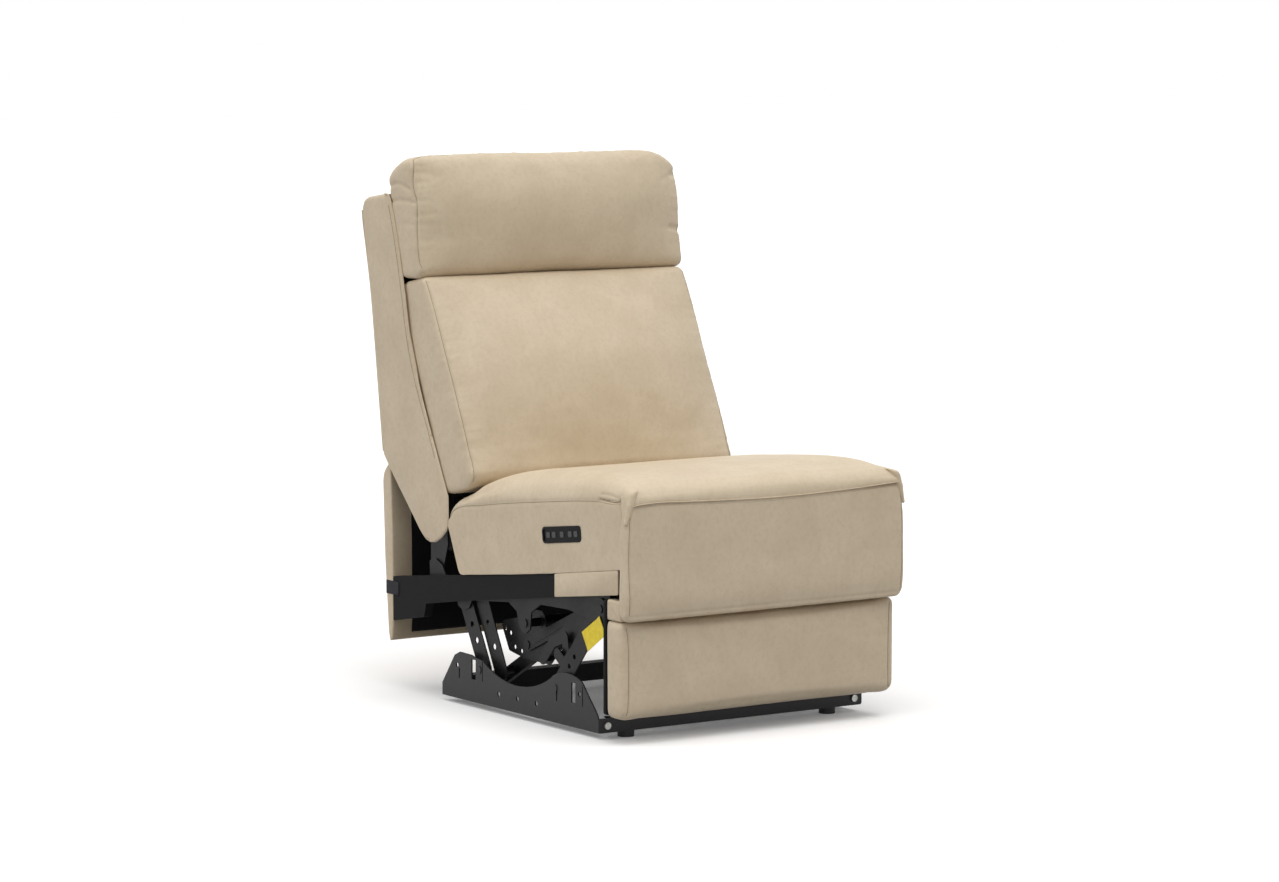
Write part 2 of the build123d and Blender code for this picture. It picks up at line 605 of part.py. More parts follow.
# the seat's top from front to rear: how far back, the sewn edge's height, the crown's height over it
SEAT_CROWN = (
    (SEAT_FRONT, 428.0, 20.0), (34.0, 435.5, 34.0), (48.0, 438.0, 43.0), (170.0, 432.0, 48.0),
    (300.0, 417.5, 53.0), (430.0, 401.6, 52.9), (528.0, 387.0, 46.5), (556.0, 382.0, 31.5),
    (588.0, 376.5, 22.0), (608.0, 366.0, 20.0), (616.5, 356.0, 16.0), (622.0, 343.0, 9.0),
)
# how much of the crown's height stands at each share of the half width
SEAT_SHOULDER = ((1.0, 0.0), (0.992, 0.33), (0.972, 0.58), (0.93, 0.80), (0.87, 0.93), (0.75, 0.985), (0.4, 1.0))

with BuildPart() as seat_cushion:
    for f, rise in [(-f, r) for f, r in SEAT_SHOULDER] + list(reversed(SEAT_SHOULDER)):
        top = [at((y, edge + rise * crown)) for y, edge, crown in SEAT_CROWN]
        with BuildSketch(side(f * HALF_SEAT)):
            with BuildLine():
                Polyline(
                    at((604.0, 262.0)), at((590.0, 253.0)), at((572.0, 251.2)),
                    at((268.0, 288.2)), at((43.0, 319.2)), at((SEAT_FRONT, 321.4)), top[0],
                )
                ThreePointArc(top[0], top[1], top[2])
                ThreePointArc(top[2], top[3], top[4])
                ThreePointArc(top[4], top[5], top[6])
                Line(top[6], top[7])
                ThreePointArc(top[7], top[8], top[9])
                ThreePointArc(top[9], top[10], top[11])
                Line(top[11], at((604.0, 262.0)))
            make_face()
    loft(ruled=True)
    with BuildSketch(side(-HALF_SEAT - 5.0)):
        with Locations(Location((PANEL_C[0] - MID, PANEL_C[1], 0), (0, 0, PANEL_TILT))):
            RectangleRounded(PANEL_L + 1.0, PANEL_H + 1.0, 9.0)
    extrude(amount=HALF_SEAT + 5.0 - PANEL_FLOOR + GAP, mode=Mode.SUBTRACT)
seat_cushion.part.label = "seat_cushion"
export_step(seat_cushion.part, "parts/seat_cushion.step")

BUTTONS = ((-46.0, 13.0), (-27.0, 13.0), (0.0, 13.0), (27.0, 13.0), (46.0, 13.0))
BUTTON_GAP = 0.3
FACE_DEPTH = 1.6
with BuildPart() as control_bezel:
    with BuildSketch(side(-PANEL_OUT)):
        with Locations(Location((PANEL_C[0] - MID, PANEL_C[1], 0), (0, 0, PANEL_TILT))):
            RectangleRounded(PANEL_L, PANEL_H, 8.5)
    extrude(amount=PANEL_OUT - PANEL_FLOOR)
    with BuildSketch(side(-PANEL_OUT)):
        with Locations(Location((PANEL_C[0] - MID, PANEL_C[1], 0), (0, 0, PANEL_TILT))):
            RectangleRounded(PANEL_L - 8.0, PANEL_H - 8.0, 5.0)
    extrude(amount=FACE_DEPTH, mode=Mode.SUBTRACT)
    with BuildSketch(side(-PANEL_OUT)):
        for shift, wide in BUTTONS:
            with Locations(Location((PANEL_C[0] - MID, PANEL_C[1], 0), (0, 0, PANEL_TILT))):
                with Locations((shift, 0)):
                    RectangleRounded(wide + 2 * BUTTON_GAP, 12.0 + 2 * BUTTON_GAP, 4.0)
    extrude(amount=PANEL_OUT - PANEL_FLOOR - 0.6, mode=Mode.SUBTRACT)
control_bezel.part.label = "control_bezel"
export_step(control_bezel.part, "parts/control_bezel.step")

BUTTON_OUT = PANEL_OUT - 0.6
BUTTON_IN = PANEL_FLOOR + 2.0


def button(shift, wide):
    # one push button, its face crowned by a small chamfer
    with BuildPart() as key:
        with BuildSketch(side(-BUTTON_OUT)):
            with Locations(Location((PANEL_C[0] - MID, PANEL_C[1], 0), (0, 0, PANEL_TILT))):
                with Locations((shift, 0)):
                    RectangleRounded(wide, 12.0, 3.7)
        extrude(amount=BUTTON_OUT - BUTTON_IN)
        chamfer(key.faces().sort_by(Axis.X)[0].edges(), 0.5)
    return key


with BuildPart() as rail_facings:
    with BuildSketch(side(-HALF_SEAT)):
        outline(((43.0, 318.6), (251.0, 290.0), (251.0, 247.0), (43.0, 274.0)))
    extrude(amount=HALF_SEAT - RAIL_OUT)
    mirror(about=Plane.YZ)
rail_facings.part.label = "rail_facings"
export_step(rail_facings.part, "parts/rail_facings.step")

with BuildPart() as rear_flap:
    with BuildSketch(side(-HALF_FLAP)):
        outline((
            (828.3, 140.0), (834.0, 94.0), (842.0, 94.0), (847.0, 110.0), (859.0, 250.0), (865.5, 404.0),
            (862.0, 420.0), (854.0, 430.0), (843.0, 440.0), (836.0, 430.0), (829.5, 300.0), (828.3, 222.0),
        ))
    extrude(amount=2 * HALF_FLAP)
    fillet(rear_flap.edges().filter_by(Axis.X).group_by(Axis.Z)[-1], 4.0)
rear_flap.part.label = "rear_flap"
export_step(rear_flap.part, "parts/rear_flap.step")

with BuildPart() as strap_tabs:
    with BuildSketch(side(-RAIL_OUT - 1.2)):
        outline(((806.0, 207.0), (852.0, 212.0), (851.0, 188.0), (806.0, 185.0)))
    extrude(amount=1.2)
    mirror(about=Plane.YZ)
strap_tabs.part.label = "strap_tabs"
export_step(strap_tabs.part, "parts/strap_tabs.step")

# ---------------------------------------------------------------- back

LEAN = 22.93                # back plane, degrees from upright
BACK_FOOT = (632.0, 397.0)  # rear lower edge of the back cushion


def lean(up, deep):
    # point in the back's own directions: up along it, deep towards the rear
    a = radians(LEAN)
    return (BACK_FOOT[0] + up * sin(a) + deep * cos(a), BACK_FOOT[1] + up * cos(a) - deep * sin(a))


POST_OUT = X_REAR - LINK
with BuildPart() as back_post_left:
    with BuildSketch(side(-POST_OUT)) as post_shape:
        outline((
            (650.0, 288.0), (716.0, 288.0), (704.0, 400.0), (708.0, 470.0), (832.0, 800.0), (904.0, 905.0),
            (904.0, 942.8), (840.0, 950.9), (828.0, 925.0), (798.0, 802.0), lean(424.0, 6.0), lean(424.0, GAP), lean(3.0, GAP), (640.0, 392.0),
        ))
    extrude(amount=PLY)
back_post_left.part.label = "back_post_left"
export_step(back_post_left.part, "parts/back_post_left.step")

with BuildPart() as back_post_right:
    add(mirror(back_post_left.part, about=Plane.YZ))
back_post_right.part.label = "back_post_right"
export_step(back_post_right.part, "parts/back_post_right.step")

CROSS = POST_OUT - PLY
WEB_T = 1.3
with BuildPart() as back_lower_rail:
    with BuildSketch(side(-CROSS)):
        outline((lean(8.0, WEB_T + 0.3), lean(62.0, WEB_T + 0.3), lean(62.0, 19.6), lean(8.0, 19.6)))
    extrude(amount=2 * CROSS)
back_lower_rail.part.label = "back_lower_rail"
export_step(back_lower_rail.part, "parts/back_lower_rail.step")

with BuildPart() as back_upper_rail:
    with BuildSketch(side(-CROSS)):
        outline((lean(366.0, WEB_T + 0.3), lean(421.0, WEB_T + 0.3), lean(421.0, 19.6), lean(366.0, 19.6)))
    extrude(amount=2 * CROSS)
back_upper_rail.part.label = "back_upper_rail"
export_step(back_upper_rail.part, "parts/back_upper_rail.step")

with BuildPart() as back_top_rail:
    with BuildSketch(side(-CROSS)):
        outline(((852.0, 949.0), (870.0, 947.0), (870.0, 897.0), (852.0, 897.0)))
    extrude(amount=2 * CROSS)
back_top_rail.part.label = "back_top_rail"
export_step(back_top_rail.part, "parts/back_top_rail.step")

with BuildPart() as back_webbing:
    for x in (-165.0, -55.0, 55.0, 165.0):
        with BuildSketch(side(x - 25.0)):
            outline((lean(9.0, 0.2), lean(420.0, 0.2), lean(420.0, 0.2 + WEB_T), lean(9.0, 0.2 + WEB_T)))
        extrude(amount=50.0)
back_webbing.part.label = "back_webbing"
export_step(back_webbing.part, "parts/back_webbing.step")

with BuildPart() as back_brackets:
    with BuildSketch(side(-X_REAR)) as bracket_shape:
        outline((
            (668.0, 392.0), (660.0, 300.0), (680.0, 244.0), (686.0, 232.0), (714.0, 232.0),
            (722.0, 262.0), (722.0, 292.0), (698.0, 392.0),
        ))
        fillet(bracket_shape.vertices(), 5.0)
        hole(P_BACK, RIVET_R + RIVET_GAP)
    extrude(amount=LINK)
    pin((682.0, 372.0), -X_REAR - HEAD_T, -X_REAR, HEAD_R)
    pin((684.0, 318.0), -X_REAR - HEAD_T, -X_REAR, HEAD_R)
    mirror(about=Plane.YZ)
back_brackets.part.label = "back_brackets"
export_step(back_brackets.part, "parts/back_brackets.step")

SHELL_IN = HALF_SHELL - SKIN
with BuildPart() as back_panel:
    with BuildSketch(side(-SHELL_IN)):
        outline((
            (849.0, 450.0), (855.0, 461.0), (897.0, 776.0), (929.0, 930.0), (909.0, 952.0), (833.0, 961.0),
            (833.0, 952.0), (904.2, 943.0), (920.0, 926.0), (889.0, 777.0), (847.0, 462.0), (843.0, 454.0),
        ))
    extrude(amount=2 * SHELL_IN)
back_panel.part.label = "back_panel"
export_step(back_panel.part, "parts/back_panel.step")

SHELL_EDGE = (
    (849.0, 450.0), (855.0, 461.0), (897.0, 776.0), (929.0, 930.0), (909.0, 952.0), (833.0, 961.0),
    (828.0, 929.0), (790.0, 808.0), (780.0, 758.0), (718.0, 597.0), (675.0, 508.0), (617.0, 396.0),
    (620.0, 330.0), (662.0, 305.0), (695.0, 302.0),
)
with BuildPart() as side_panel_left:
    with BuildSketch(side(-HALF_SHELL)) as shell_shape:
        outline(SHELL_EDGE)
        fillet(shell_shape.vertices().group_by(Axis.Y)[0], 6.0)
    extrude(amount=SKIN)
side_panel_left.part.label = "side_panel_left"
export_step(side_panel_left.part, "parts/side_panel_left.step")

with BuildPart() as side_panel_right:
    add(mirror(side_panel_left.part, about=Plane.YZ))
side_panel_right.part.label = "side_panel_right"
export_step(side_panel_right.part, "parts/side_panel_right.step")

with BuildPart() as back_cushion:
    for x, tuck, crown in stations(HALF_BACK, 7.0, 22.0):
        with BuildSketch(side(x)):
            with BuildLine():
                Line(at(lean(1.0 + tuck / 2, 0.0)), at(lean(-10.0 + tuck, -80.0)))
                ThreePointArc(
                    at(lean(-10.0 + tuck, -80.0)),
                    at(lean(-5.0 + tuck, -98.0 + tuck)),
                    at(lean(14.0, -107.0 + tuck)),
                )
                ThreePointArc(
                    at(lean(14.0, -107.0 + tuck)),
                    at(lean(200.0, -107.0 + tuck - crown)),
                    at(lean(380.0, -97.0 + tuck)),
                )
                ThreePointArc(
                    at(lean(380.0, -97.0 + tuck)),
                    at(lean(396.0 - tuck / 2, -90.0 + tuck)),
                    at(lean(402.0 - tuck, -76.0)),
                )
                Line(at(lean(402.0 - tuck, -76.0)), at(lean(423.0 - tuck / 2, 0.0)))
                Line(at(lean(423.0 - tuck / 2, 0.0)), at(lean(1.0 + tuck / 2, 0.0)))
            make_face()
    loft(ruled=True)
back_cushion.part.label = "back_cushion"
export_step(back_cushion.part, "parts/back_cushion.step")

# ---------------------------------------------------------------- headrest

ARM_X = 120.0
ARM_T = 4.0
SLOT_W = 5.0
with BuildPart() as headrest_cushion:
    for x, tuck, crown in stations(HALF_HEAD, 8.0, 12.0):
        with BuildSketch(side(x)):
            with BuildLine():
                Line(at((783.0 - tuck / 2, 801.0 + tuck / 2)), at((742.0, 804.5 + tuck / 2)))
                ThreePointArc(
                    at((742.0, 804.5 + tuck / 2)),
                    at((725.0 + tuck / 3, 810.0 + tuck / 2)),
                    at((717.0 + tuck, 824.0)),
                )
                ThreePointArc(at((717.0 + tuck, 824.0)), at((729.0 + tuck - crown, 914.0)), at((739.0 + tuck, 1006.0)))
                ThreePointArc(
                    at((739.0 + tuck, 1006.0)),
                    at((742.0 + tuck, 1027.0 - tuck)),
                    at((756.0, 1037.0 - tuck)),
                )
                ThreePointArc(
                    at((756.0, 1037.0 - tuck)),
                    at((788.0, 1031.0 - tuck + crown / 3)),
                    at((818.0, 1016.0 - tuck)),
                )
                ThreePointArc(at((818.0, 1016.0 - tuck)), at((832.0 - tuck, 1006.0 - tuck)), at((837.0 - tuck, 990.0)))
                Line(at((837.0 - tuck, 990.0)), at((822.0 - tuck / 2, 929.0)))
                Line(at((822.0 - tuck / 2, 929.0)), at((783.0 - tuck / 2, 801.0 + tuck / 2)))
            make_face()
    loft(ruled=True)
    for s in (-1, 1):
        with BuildSketch(side(s * ARM_X - SLOT_W / 2)):
            outline(((736.0, 795.0), (736.0, 822.0), (744.0, 829.0), (800.0, 829.0), (800.0, 795.0)))
        extrude(amount=SLOT_W, mode=Mode.SUBTRACT)
        pin(P_HEAD, s * ARM_X - SLOT_W, s * ARM_X + SLOT_W, 2.5)
headrest_cushion.part.label = "headrest_cushion"
export_step(headrest_cushion.part, "parts/headrest_cushion.step")

with BuildPart() as headrest_arms:
    with BuildSketch(side(-ARM_X - ARM_T / 2)):
        bar(P_HEAD, (791.0, 801.0), 8.0)
        bar((791.0, 801.0), lean(424.0, 10.0), 8.0)
        hole(P_HEAD, 2.5 + RIVET_GAP)
    extrude(amount=ARM_T)
    with BuildSketch(side(-ARM_X - ARM_T / 2)):
        outline((lean(421.0, -20.0), lean(421.0, 30.0), lean(380.0, 30.0), lean(380.0, -20.0)))
    extrude(amount=ARM_T, mode=Mode.SUBTRACT)
    mirror(about=Plane.YZ)
headrest_arms.part.label = "headrest_arms"
export_step(headrest_arms.part, "parts/headrest_arms.step")

# the five keys of the control panel

for key_name, (shift, wide) in zip(("back_down", "back_up", "home", "rest_out", "rest_in"), BUTTONS):
    key = button(shift, wide)
    key.part.label = "button_" + key_name
    export_step(key.part, "parts/button_" + key_name + ".step")
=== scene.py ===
import json
import math

import bmesh
import bpy
import numpy as np
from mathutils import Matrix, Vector, noise
from mathutils.bvhtree import BVHTree
from mathutils.kdtree import KDTree


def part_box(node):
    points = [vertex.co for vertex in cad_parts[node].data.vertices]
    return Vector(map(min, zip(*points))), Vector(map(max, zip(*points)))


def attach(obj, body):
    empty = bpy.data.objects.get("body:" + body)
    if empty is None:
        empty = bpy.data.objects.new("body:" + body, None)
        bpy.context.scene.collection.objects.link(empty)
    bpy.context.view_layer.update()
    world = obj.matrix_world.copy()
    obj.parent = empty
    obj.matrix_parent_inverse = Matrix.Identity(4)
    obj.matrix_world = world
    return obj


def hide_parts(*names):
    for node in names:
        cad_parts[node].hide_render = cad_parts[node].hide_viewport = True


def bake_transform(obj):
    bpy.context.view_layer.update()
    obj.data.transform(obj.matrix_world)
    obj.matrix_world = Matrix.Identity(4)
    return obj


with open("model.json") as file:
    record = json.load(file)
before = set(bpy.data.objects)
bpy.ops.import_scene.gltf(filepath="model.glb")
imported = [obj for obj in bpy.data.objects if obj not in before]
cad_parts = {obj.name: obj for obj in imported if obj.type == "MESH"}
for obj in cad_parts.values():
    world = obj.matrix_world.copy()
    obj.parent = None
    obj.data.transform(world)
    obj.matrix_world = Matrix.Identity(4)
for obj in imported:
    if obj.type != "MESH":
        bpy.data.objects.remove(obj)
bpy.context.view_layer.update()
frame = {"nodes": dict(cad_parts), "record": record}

# Side outlines are written as (distance behind the front face, height) in millimetres, and
# X positions as millimetres from the middle; place() turns them into the frame's metres.
MID = 464.5
scene = bpy.context.scene
scene.view_settings.view_transform = "Standard"


def place(x, y, z):
    """Millimetres in the chair's own directions to metres in the frame."""
    return np.stack(np.broadcast_arrays(x, np.asarray(y) - MID, z), -1) / 1000.0


def curve(points):
    """A smooth function through points (t, value)."""
    t, v = np.array(points, float).T
    slope = np.gradient(v, t)

    def value(at):
        at = np.clip(at, t[0], t[-1])
        i = np.clip(np.searchsorted(t, at, side="right") - 1, 0, len(t) - 2)
        w = t[i + 1] - t[i]
        s = (at - t[i]) / w
        return (
            (1 + 2 * s) * (1 - s) ** 2 * v[i]
            + s * (1 - s) ** 2 * w * slope[i]
            + s * s * (3 - 2 * s) * v[i + 1]
            + s * s * (s - 1) * w * slope[i + 1]
        )

    return value


def rounded(points, radii):
    """A closed outline whose corners are rounded by the radii, as points about 2 mm apart."""
    points = np.array(points, float)
    radii = np.broadcast_to(radii, len(points))
    path = []
    for i, p in enumerate(points):
        a, b = points[i - 1] - p, points[(i + 1) % len(points)] - p
        la, lb = np.linalg.norm(a), np.linalg.norm(b)
        a, b = a / la, b / lb
        half = math.acos(max(-1.0, min(1.0, float(a @ b)))) / 2
        cut = min(radii[i] / max(math.tan(half), 1e-6), 0.49 * la, 0.49 * lb)
        if cut < 0.05:
            path.append(p)
            continue
        start, end = p + a * cut, p + b * cut
        count = max(3, int(cut) + 2)
        for s in np.linspace(0, 1, count):
            path.append((1 - s) ** 2 * start + 2 * s * (1 - s) * p + s * s * end)
    return np.array(path)


def lengths(path):
    """How far along the path each of its points is."""
    return np.r_[0, np.cumsum(np.linalg.norm(np.diff(path, axis=0), axis=1))]


def columns(table, run, at):
    """Each column of a table as a smooth function of run, taken at the places at."""
    return [curve(np.stack([run, column], -1))(at) for column in np.transpose(table)]


def between(at, run, points):
    """The points interpolated at the places at, where run tells how far along each of them is."""
    return np.stack([np.interp(at, run, column) for column in np.transpose(points)], -1)


def even(path, count, closed=True):
    """The path sampled at count points an equal distance apart."""
    path = np.asarray(path, float)
    if closed:
        path = np.vstack([path, path[:1]])
    run = lengths(path)
    at = np.linspace(0, run[-1], count, endpoint=not closed)
    return between(at, run, path)


BACK_FOOT = (632.0, 397.0)
BACK_ANGLE = math.radians(22.93)


def lean(up, deep):
    """Point in the back's own directions from its foot: up along it, deep towards the rear."""
    sin, cos = math.sin(BACK_ANGLE), math.cos(BACK_ANGLE)
    return np.stack([BACK_FOOT[0] + up * sin + deep * cos, BACK_FOOT[1] + up * cos - deep * sin], -1)


def hand(sign):
    return "left" if sign < 0 else "right"


def round_off(t):
    """How far a quarter circle has dropped at t, from 0 at its top to 1 at its end."""
    return 1 - math.sqrt(max(1 - t ** 2, 0))


# ---------------------------------------------------------------- meshes


def add_object(name, data):
    obj = bpy.data.objects.new(name, data)
    scene.collection.objects.link(obj)
    return obj


def mesh_object(name, points, faces):
    """A mesh object in the frame from points in metres."""
    mesh = bpy.data.meshes.new(name)
    mesh.from_pydata([tuple(p) for p in points], [], [tuple(f) for f in faces])
    mesh.validate()
    mesh.polygons.foreach_set("use_smooth", [True] * len(mesh.polygons))
    return add_object(name, mesh)


def skin(rows, cols, base=0):
    """The faces over closed rings of points, with a cap at each end, counted from base."""
    faces = []
    for low in range(base, base + (rows - 1) * cols, cols):
        for j in range(cols):
            k = (j + 1) % cols
            faces.append((low + j, low + k, low + cols + k, low + cols + j))
    caps = [range(base + cols - 1, base - 1, -1), range(low + cols, low + 2 * cols)]
    return faces + [tuple(cap) for cap in caps]


def loft(name, rings):
    """A closed skin over closed rings of equal length, in metres."""
    rings = np.asarray(rings)
    return mesh_object(name, rings.reshape(-1, 3), skin(*rings.shape[:2]))


def read(vertices, what):
    values = np.empty(len(vertices) * 3)
    vertices.foreach_get(what, values)
    return values.reshape(-1, 3)


def coords(obj):
    return read(obj.data.vertices, "co")


def normals(obj):
    return read(obj.data.vertices, "normal")


def move_points(obj, co):
    obj.data.vertices.foreach_set("co", np.asarray(co, float).ravel())
    obj.data.update()


def apply(obj):
    """Makes the object's modifiers part of its mesh."""
    graph = bpy.context.evaluated_depsgraph_get()
    made = bpy.data.meshes.new_from_object(obj.evaluated_get(graph))
    obj.modifiers.clear()
    obj.data = made
    made.polygons.foreach_set("use_smooth", [True] * len(made.polygons))


def voxels(obj, size):
    mod = obj.modifiers.new("voxels", "REMESH")
    mod.mode, mod.voxel_size = "VOXEL", size / 1000
    apply(obj)


def subdivide(obj):
    mod = obj.modifiers.new("subdivide", "SUBSURF")
    mod.levels = mod.render_levels = 1
    apply(obj)


def tube(name, path, radius, sides):
    """A round cord along path, in metres; radius in millimetres."""
    path = np.asarray(path, float)
    along = np.gradient(path, axis=0)
    along /= np.linalg.norm(along, axis=1)[:, None] + 1e-12
    a = np.linspace(0, 2 * math.pi, sides, endpoint=False)[:, None]
    up = np.array([0.0, 0.0, 1.0]) if abs(along[0][2]) < 0.9 else np.array([1.0, 0.0, 0.0])
    rings = []
    for p, t in zip(path, along):
        side = np.cross(t, up)
        side /= np.linalg.norm(side)
        up = np.cross(side, t)
        rings.append(p + radius / 1000 * (np.cos(a) * side + np.sin(a) * up))
    return loft(name, rings)


def join(name, objs):
    """Several mesh objects as one."""
    points, faces, base = [], [], 0
    for o in objs:
        co = coords(o)
        points.append(co)
        faces += [tuple(base + v for v in f.vertices) for f in o.data.polygons]
        base += len(co)
        bpy.data.objects.remove(o)
    return mesh_object(name, np.vstack(points), faces)


# ---------------------------------------------------------------- seams


class Seam:
    """A sewn line: dense points in metres with their distance along it."""

    def __init__(self, path):
        path = np.asarray(path, float)
        length = np.linalg.norm(np.diff(path, axis=0), axis=1).sum()
        self.points = even(path, max(3, int(length / 0.002)), False)
        self.run = lengths(self.points)

    def distances(self, co):
        """Distance from each point to the line, and how far along the line that is."""
        tree = KDTree(len(self.points))
        for i, p in enumerate(self.points):
            tree.insert(p, i)
        tree.balance()
        far, along = np.empty(len(co)), np.empty(len(co))
        for i, p in enumerate(co):
            _, k, d = tree.find(p)
            far[i], along[i] = d, self.run[k]
        return far, along


def wave(along, size, seed):
    """Smooth noise along a line, between -1 and 1."""
    return np.array([noise.noise(Vector((a / size, seed * 3.1, seed * 7.7))) for a in along])


def sew(obj, seams, depth=1.6, width=3.0, pull=0.7, reach=26.0, size=0.011, seed=1):
    """Sinks each seam into the surface and adds the small puckers that run away from it."""
    co, no = coords(obj), normals(obj)
    move = np.zeros(len(co))
    for n, seam in enumerate(seams):
        far, along = seam.distances(co)
        far = far * 1000
        near = far < reach * 3
        move[near] -= depth * np.exp(-((far[near] / width) ** 2))
        if pull:
            ripple = wave(along[near], size, seed + n) + 0.5 * wave(along[near], size * 0.45, seed + n + 40)
            fade = np.exp(-far[near] / reach) * (1 - np.exp(-((far[near] / 4) ** 2)))
            move[near] += pull * ripple * fade
    move_points(obj, co + no * move[:, None] / 1000)


def relax(obj, amount, size, seed):
    """Gives a padded surface the slow unevenness of real filling."""
    co, no = coords(obj), normals(obj)
    lift = np.array([noise.noise(Vector(p) / size + Vector((seed, 0, 0))) for p in co])
    move_points(obj, co + no * (lift * amount / 1000)[:, None])


def surface(obj):
    return BVHTree.FromPolygons([tuple(p) for p in coords(obj)], [tuple(f.vertices) for f in obj.data.polygons])


def on_surface(tree, path):
    """The path laid onto a surface, with the normals there."""
    spots, outs = [], []
    for p in path:
        at, out, _, _ = tree.find_nearest(p)
        spots.append(at)
        outs.append(out)
    return np.array(spots), np.array(outs)


def beside(tree, seam, offset):
    """A line on the surface at a distance of offset millimetres from the seam."""
    spots, outs = on_surface(tree, seam.points)
    along = np.gradient(spots, axis=0)
    side = np.cross(outs, along)
    side /= np.linalg.norm(side, axis=1)[:, None] + 1e-12
    return on_surface(tree, spots + side * offset / 1000)


# one stitch from end to end: (along its length, width, lift off the leather)
STITCH = ((-0.5, 0.25, -0.35), (-0.36, 0.95, 0.2), (0.0, 1.0, 0.35), (0.36, 0.95, 0.2), (0.5, 0.25, -0.35))


def stitches(name, lines, pitch=4.6, length=3.1, radius=0.3):
    """Rows of single stitches on lines of (points, normals)."""
    points, faces = [], []
    sides = 6
    for spots, outs in lines:
        run = lengths(spots) * 1000
        for at in np.arange(pitch, run[-1] - pitch, pitch):
            mid = between(at, run, spots)
            along = between(at + 1.5, run, spots) - mid
            size = np.linalg.norm(along)
            if size < 1e-7:
                continue
            along /= size
            out = outs[min(int(np.searchsorted(run, at)), len(outs) - 1)]
            side = np.cross(out, along)
            side /= np.linalg.norm(side) + 1e-12
            base = len(points)
            for t, wide, high in STITCH:
                for a in np.linspace(0, 2 * math.pi, sides, endpoint=False):
                    points.append(
                        mid
                        + along * t * length / 1000
                        + side * math.cos(a) * wide * radius / 1000
                        + out * (math.sin(a) * wide * radius + high * radius) / 1000
                    )
            faces += skin(len(STITCH), sides, base)
    return mesh_object(name, points, faces)


# ---------------------------------------------------------------- swelling


def swell(jobs):
    """Blows up padded forms as cloth under pressure: (object, seams, held points, pressure, most movement)."""
    frames = 20
    rest = []
    for obj, seams, held, pressure, cap in jobs:
        co = coords(obj)
        rest.append(co)
        for seam in seams:
            held = held | (seam.distances(co)[0] < 0.0045)
        hold = obj.vertex_groups.new(name="hold")
        hold.add([int(i) for i in np.nonzero(held)[0]], 1.0, "REPLACE")
        mod = obj.modifiers.new("swell", "CLOTH")
        mod.settings.quality = 4
        mod.settings.use_pressure = True
        mod.settings.uniform_pressure_force = pressure
        mod.settings.effector_weights.gravity = 0
        mod.settings.vertex_group_mass = "hold"
        mod.point_cache.frame_start, mod.point_cache.frame_end = 1, frames
    for f in range(1, frames + 1):
        scene.frame_set(f)
    graph = bpy.context.evaluated_depsgraph_get()
    for (obj, _, _, _, cap), before in zip(jobs, rest):
        shift = read(obj.evaluated_get(graph).data.vertices, "co") - before
        size = np.linalg.norm(shift, axis=1)[:, None] + 1e-12
        limit = cap / 1000
        obj.modifiers.clear()
        obj.vertex_groups.clear()
        move_points(obj, before + shift / size * limit * np.tanh(size / limit))
    scene.frame_set(1)


# ---------------------------------------------------------------- materials


def feed(tree, made, inputs):
    """Gives each input of a node its value, or links it to another node's socket."""
    for key, value in inputs.items():
        if isinstance(value, bpy.types.NodeSocket):
            tree.links.new(value, made.inputs[key])
        else:
            made.inputs[key].default_value = value


def node(tree, kind, inputs=None, **settings):
    """A new shader node with its settings and inputs."""
    made = tree.nodes.new("ShaderNode" + kind)
    for key, value in settings.items():
        setattr(made, key, value)
    feed(tree, made, inputs or {})
    return made


class Look:
    """One procedural material, with short names for its nodes. Sizes are in millimetres."""

    def __init__(self, name):
        self.material = bpy.data.materials.new(name)
        self.material.use_nodes = True
        self.tree = self.material.node_tree
        self.where = self.node("TexCoord").outputs["Object"]

    def node(self, kind, inputs=None, **settings):
        return node(self.tree, kind, inputs, **settings)

    def noise(self, size, detail=3.0, rough=0.5, warp=0.0, stretch=(1, 1, 1)):
        """Fractal noise whose lumps are about size across."""
        where = self.where
        if stretch != (1, 1, 1):
            where = self.node("Mapping", {"Vector": where, "Scale": stretch}).outputs["Vector"]
        inputs = {"Vector": where, "Scale": 1000.0 / size, "Detail": detail, "Roughness": rough, "Distortion": warp}
        return self.node("TexNoise", inputs).outputs["Fac"]

    def cells(self, size, feature="F1", smooth=None):
        inputs = {"Vector": self.where, "Scale": 1000.0 / size}
        if smooth is not None:
            inputs["Smoothness"] = smooth
        return self.node("TexVoronoi", inputs, feature=feature).outputs["Distance"]

    def span(self, value, low, high, to_low=0.0, to_high=1.0):
        inputs = {"Value": value, "From Min": low, "From Max": high, "To Min": to_low, "To Max": to_high}
        return self.node("MapRange", inputs).outputs["Result"]

    def math(self, operation, a, b):
        return self.node("Math", {0: a, 1: b}, operation=operation).outputs[0]

    def mix(self, fac, a, b):
        return self.node("Mix", {0: fac, 6: a, 7: b}, data_type="RGBA").outputs[2]

    def bump(self, height, strength, distance, normal=None):
        inputs = {"Height": height, "Strength": strength, "Distance": distance / 1000}
        if normal is not None:
            inputs["Normal"] = normal
        return self.node("Bump", inputs).outputs["Normal"]

    def edges(self, radius):
        """1 on sharp outer and inner edges within the radius, 0 on flat faces."""
        bevel = self.node("Bevel", {"Radius": radius / 1000}, samples=4)
        flat = self.node("NewGeometry")
        both = {0: bevel.outputs["Normal"], 1: flat.outputs["Normal"]}
        dot = self.node("VectorMath", both, operation="DOT_PRODUCT")
        return self.span(dot.outputs["Value"], 0.995, 0.8)

    def done(self, colour, rough, normal, **sockets):
        inputs = {"Base Color": colour, "Roughness": rough, "Normal": normal}
        inputs.update((key.replace("_", " "), value) for key, value in sockets.items())
        feed(self.tree, self.tree.nodes["Principled BSDF"], inputs)
        return self.material


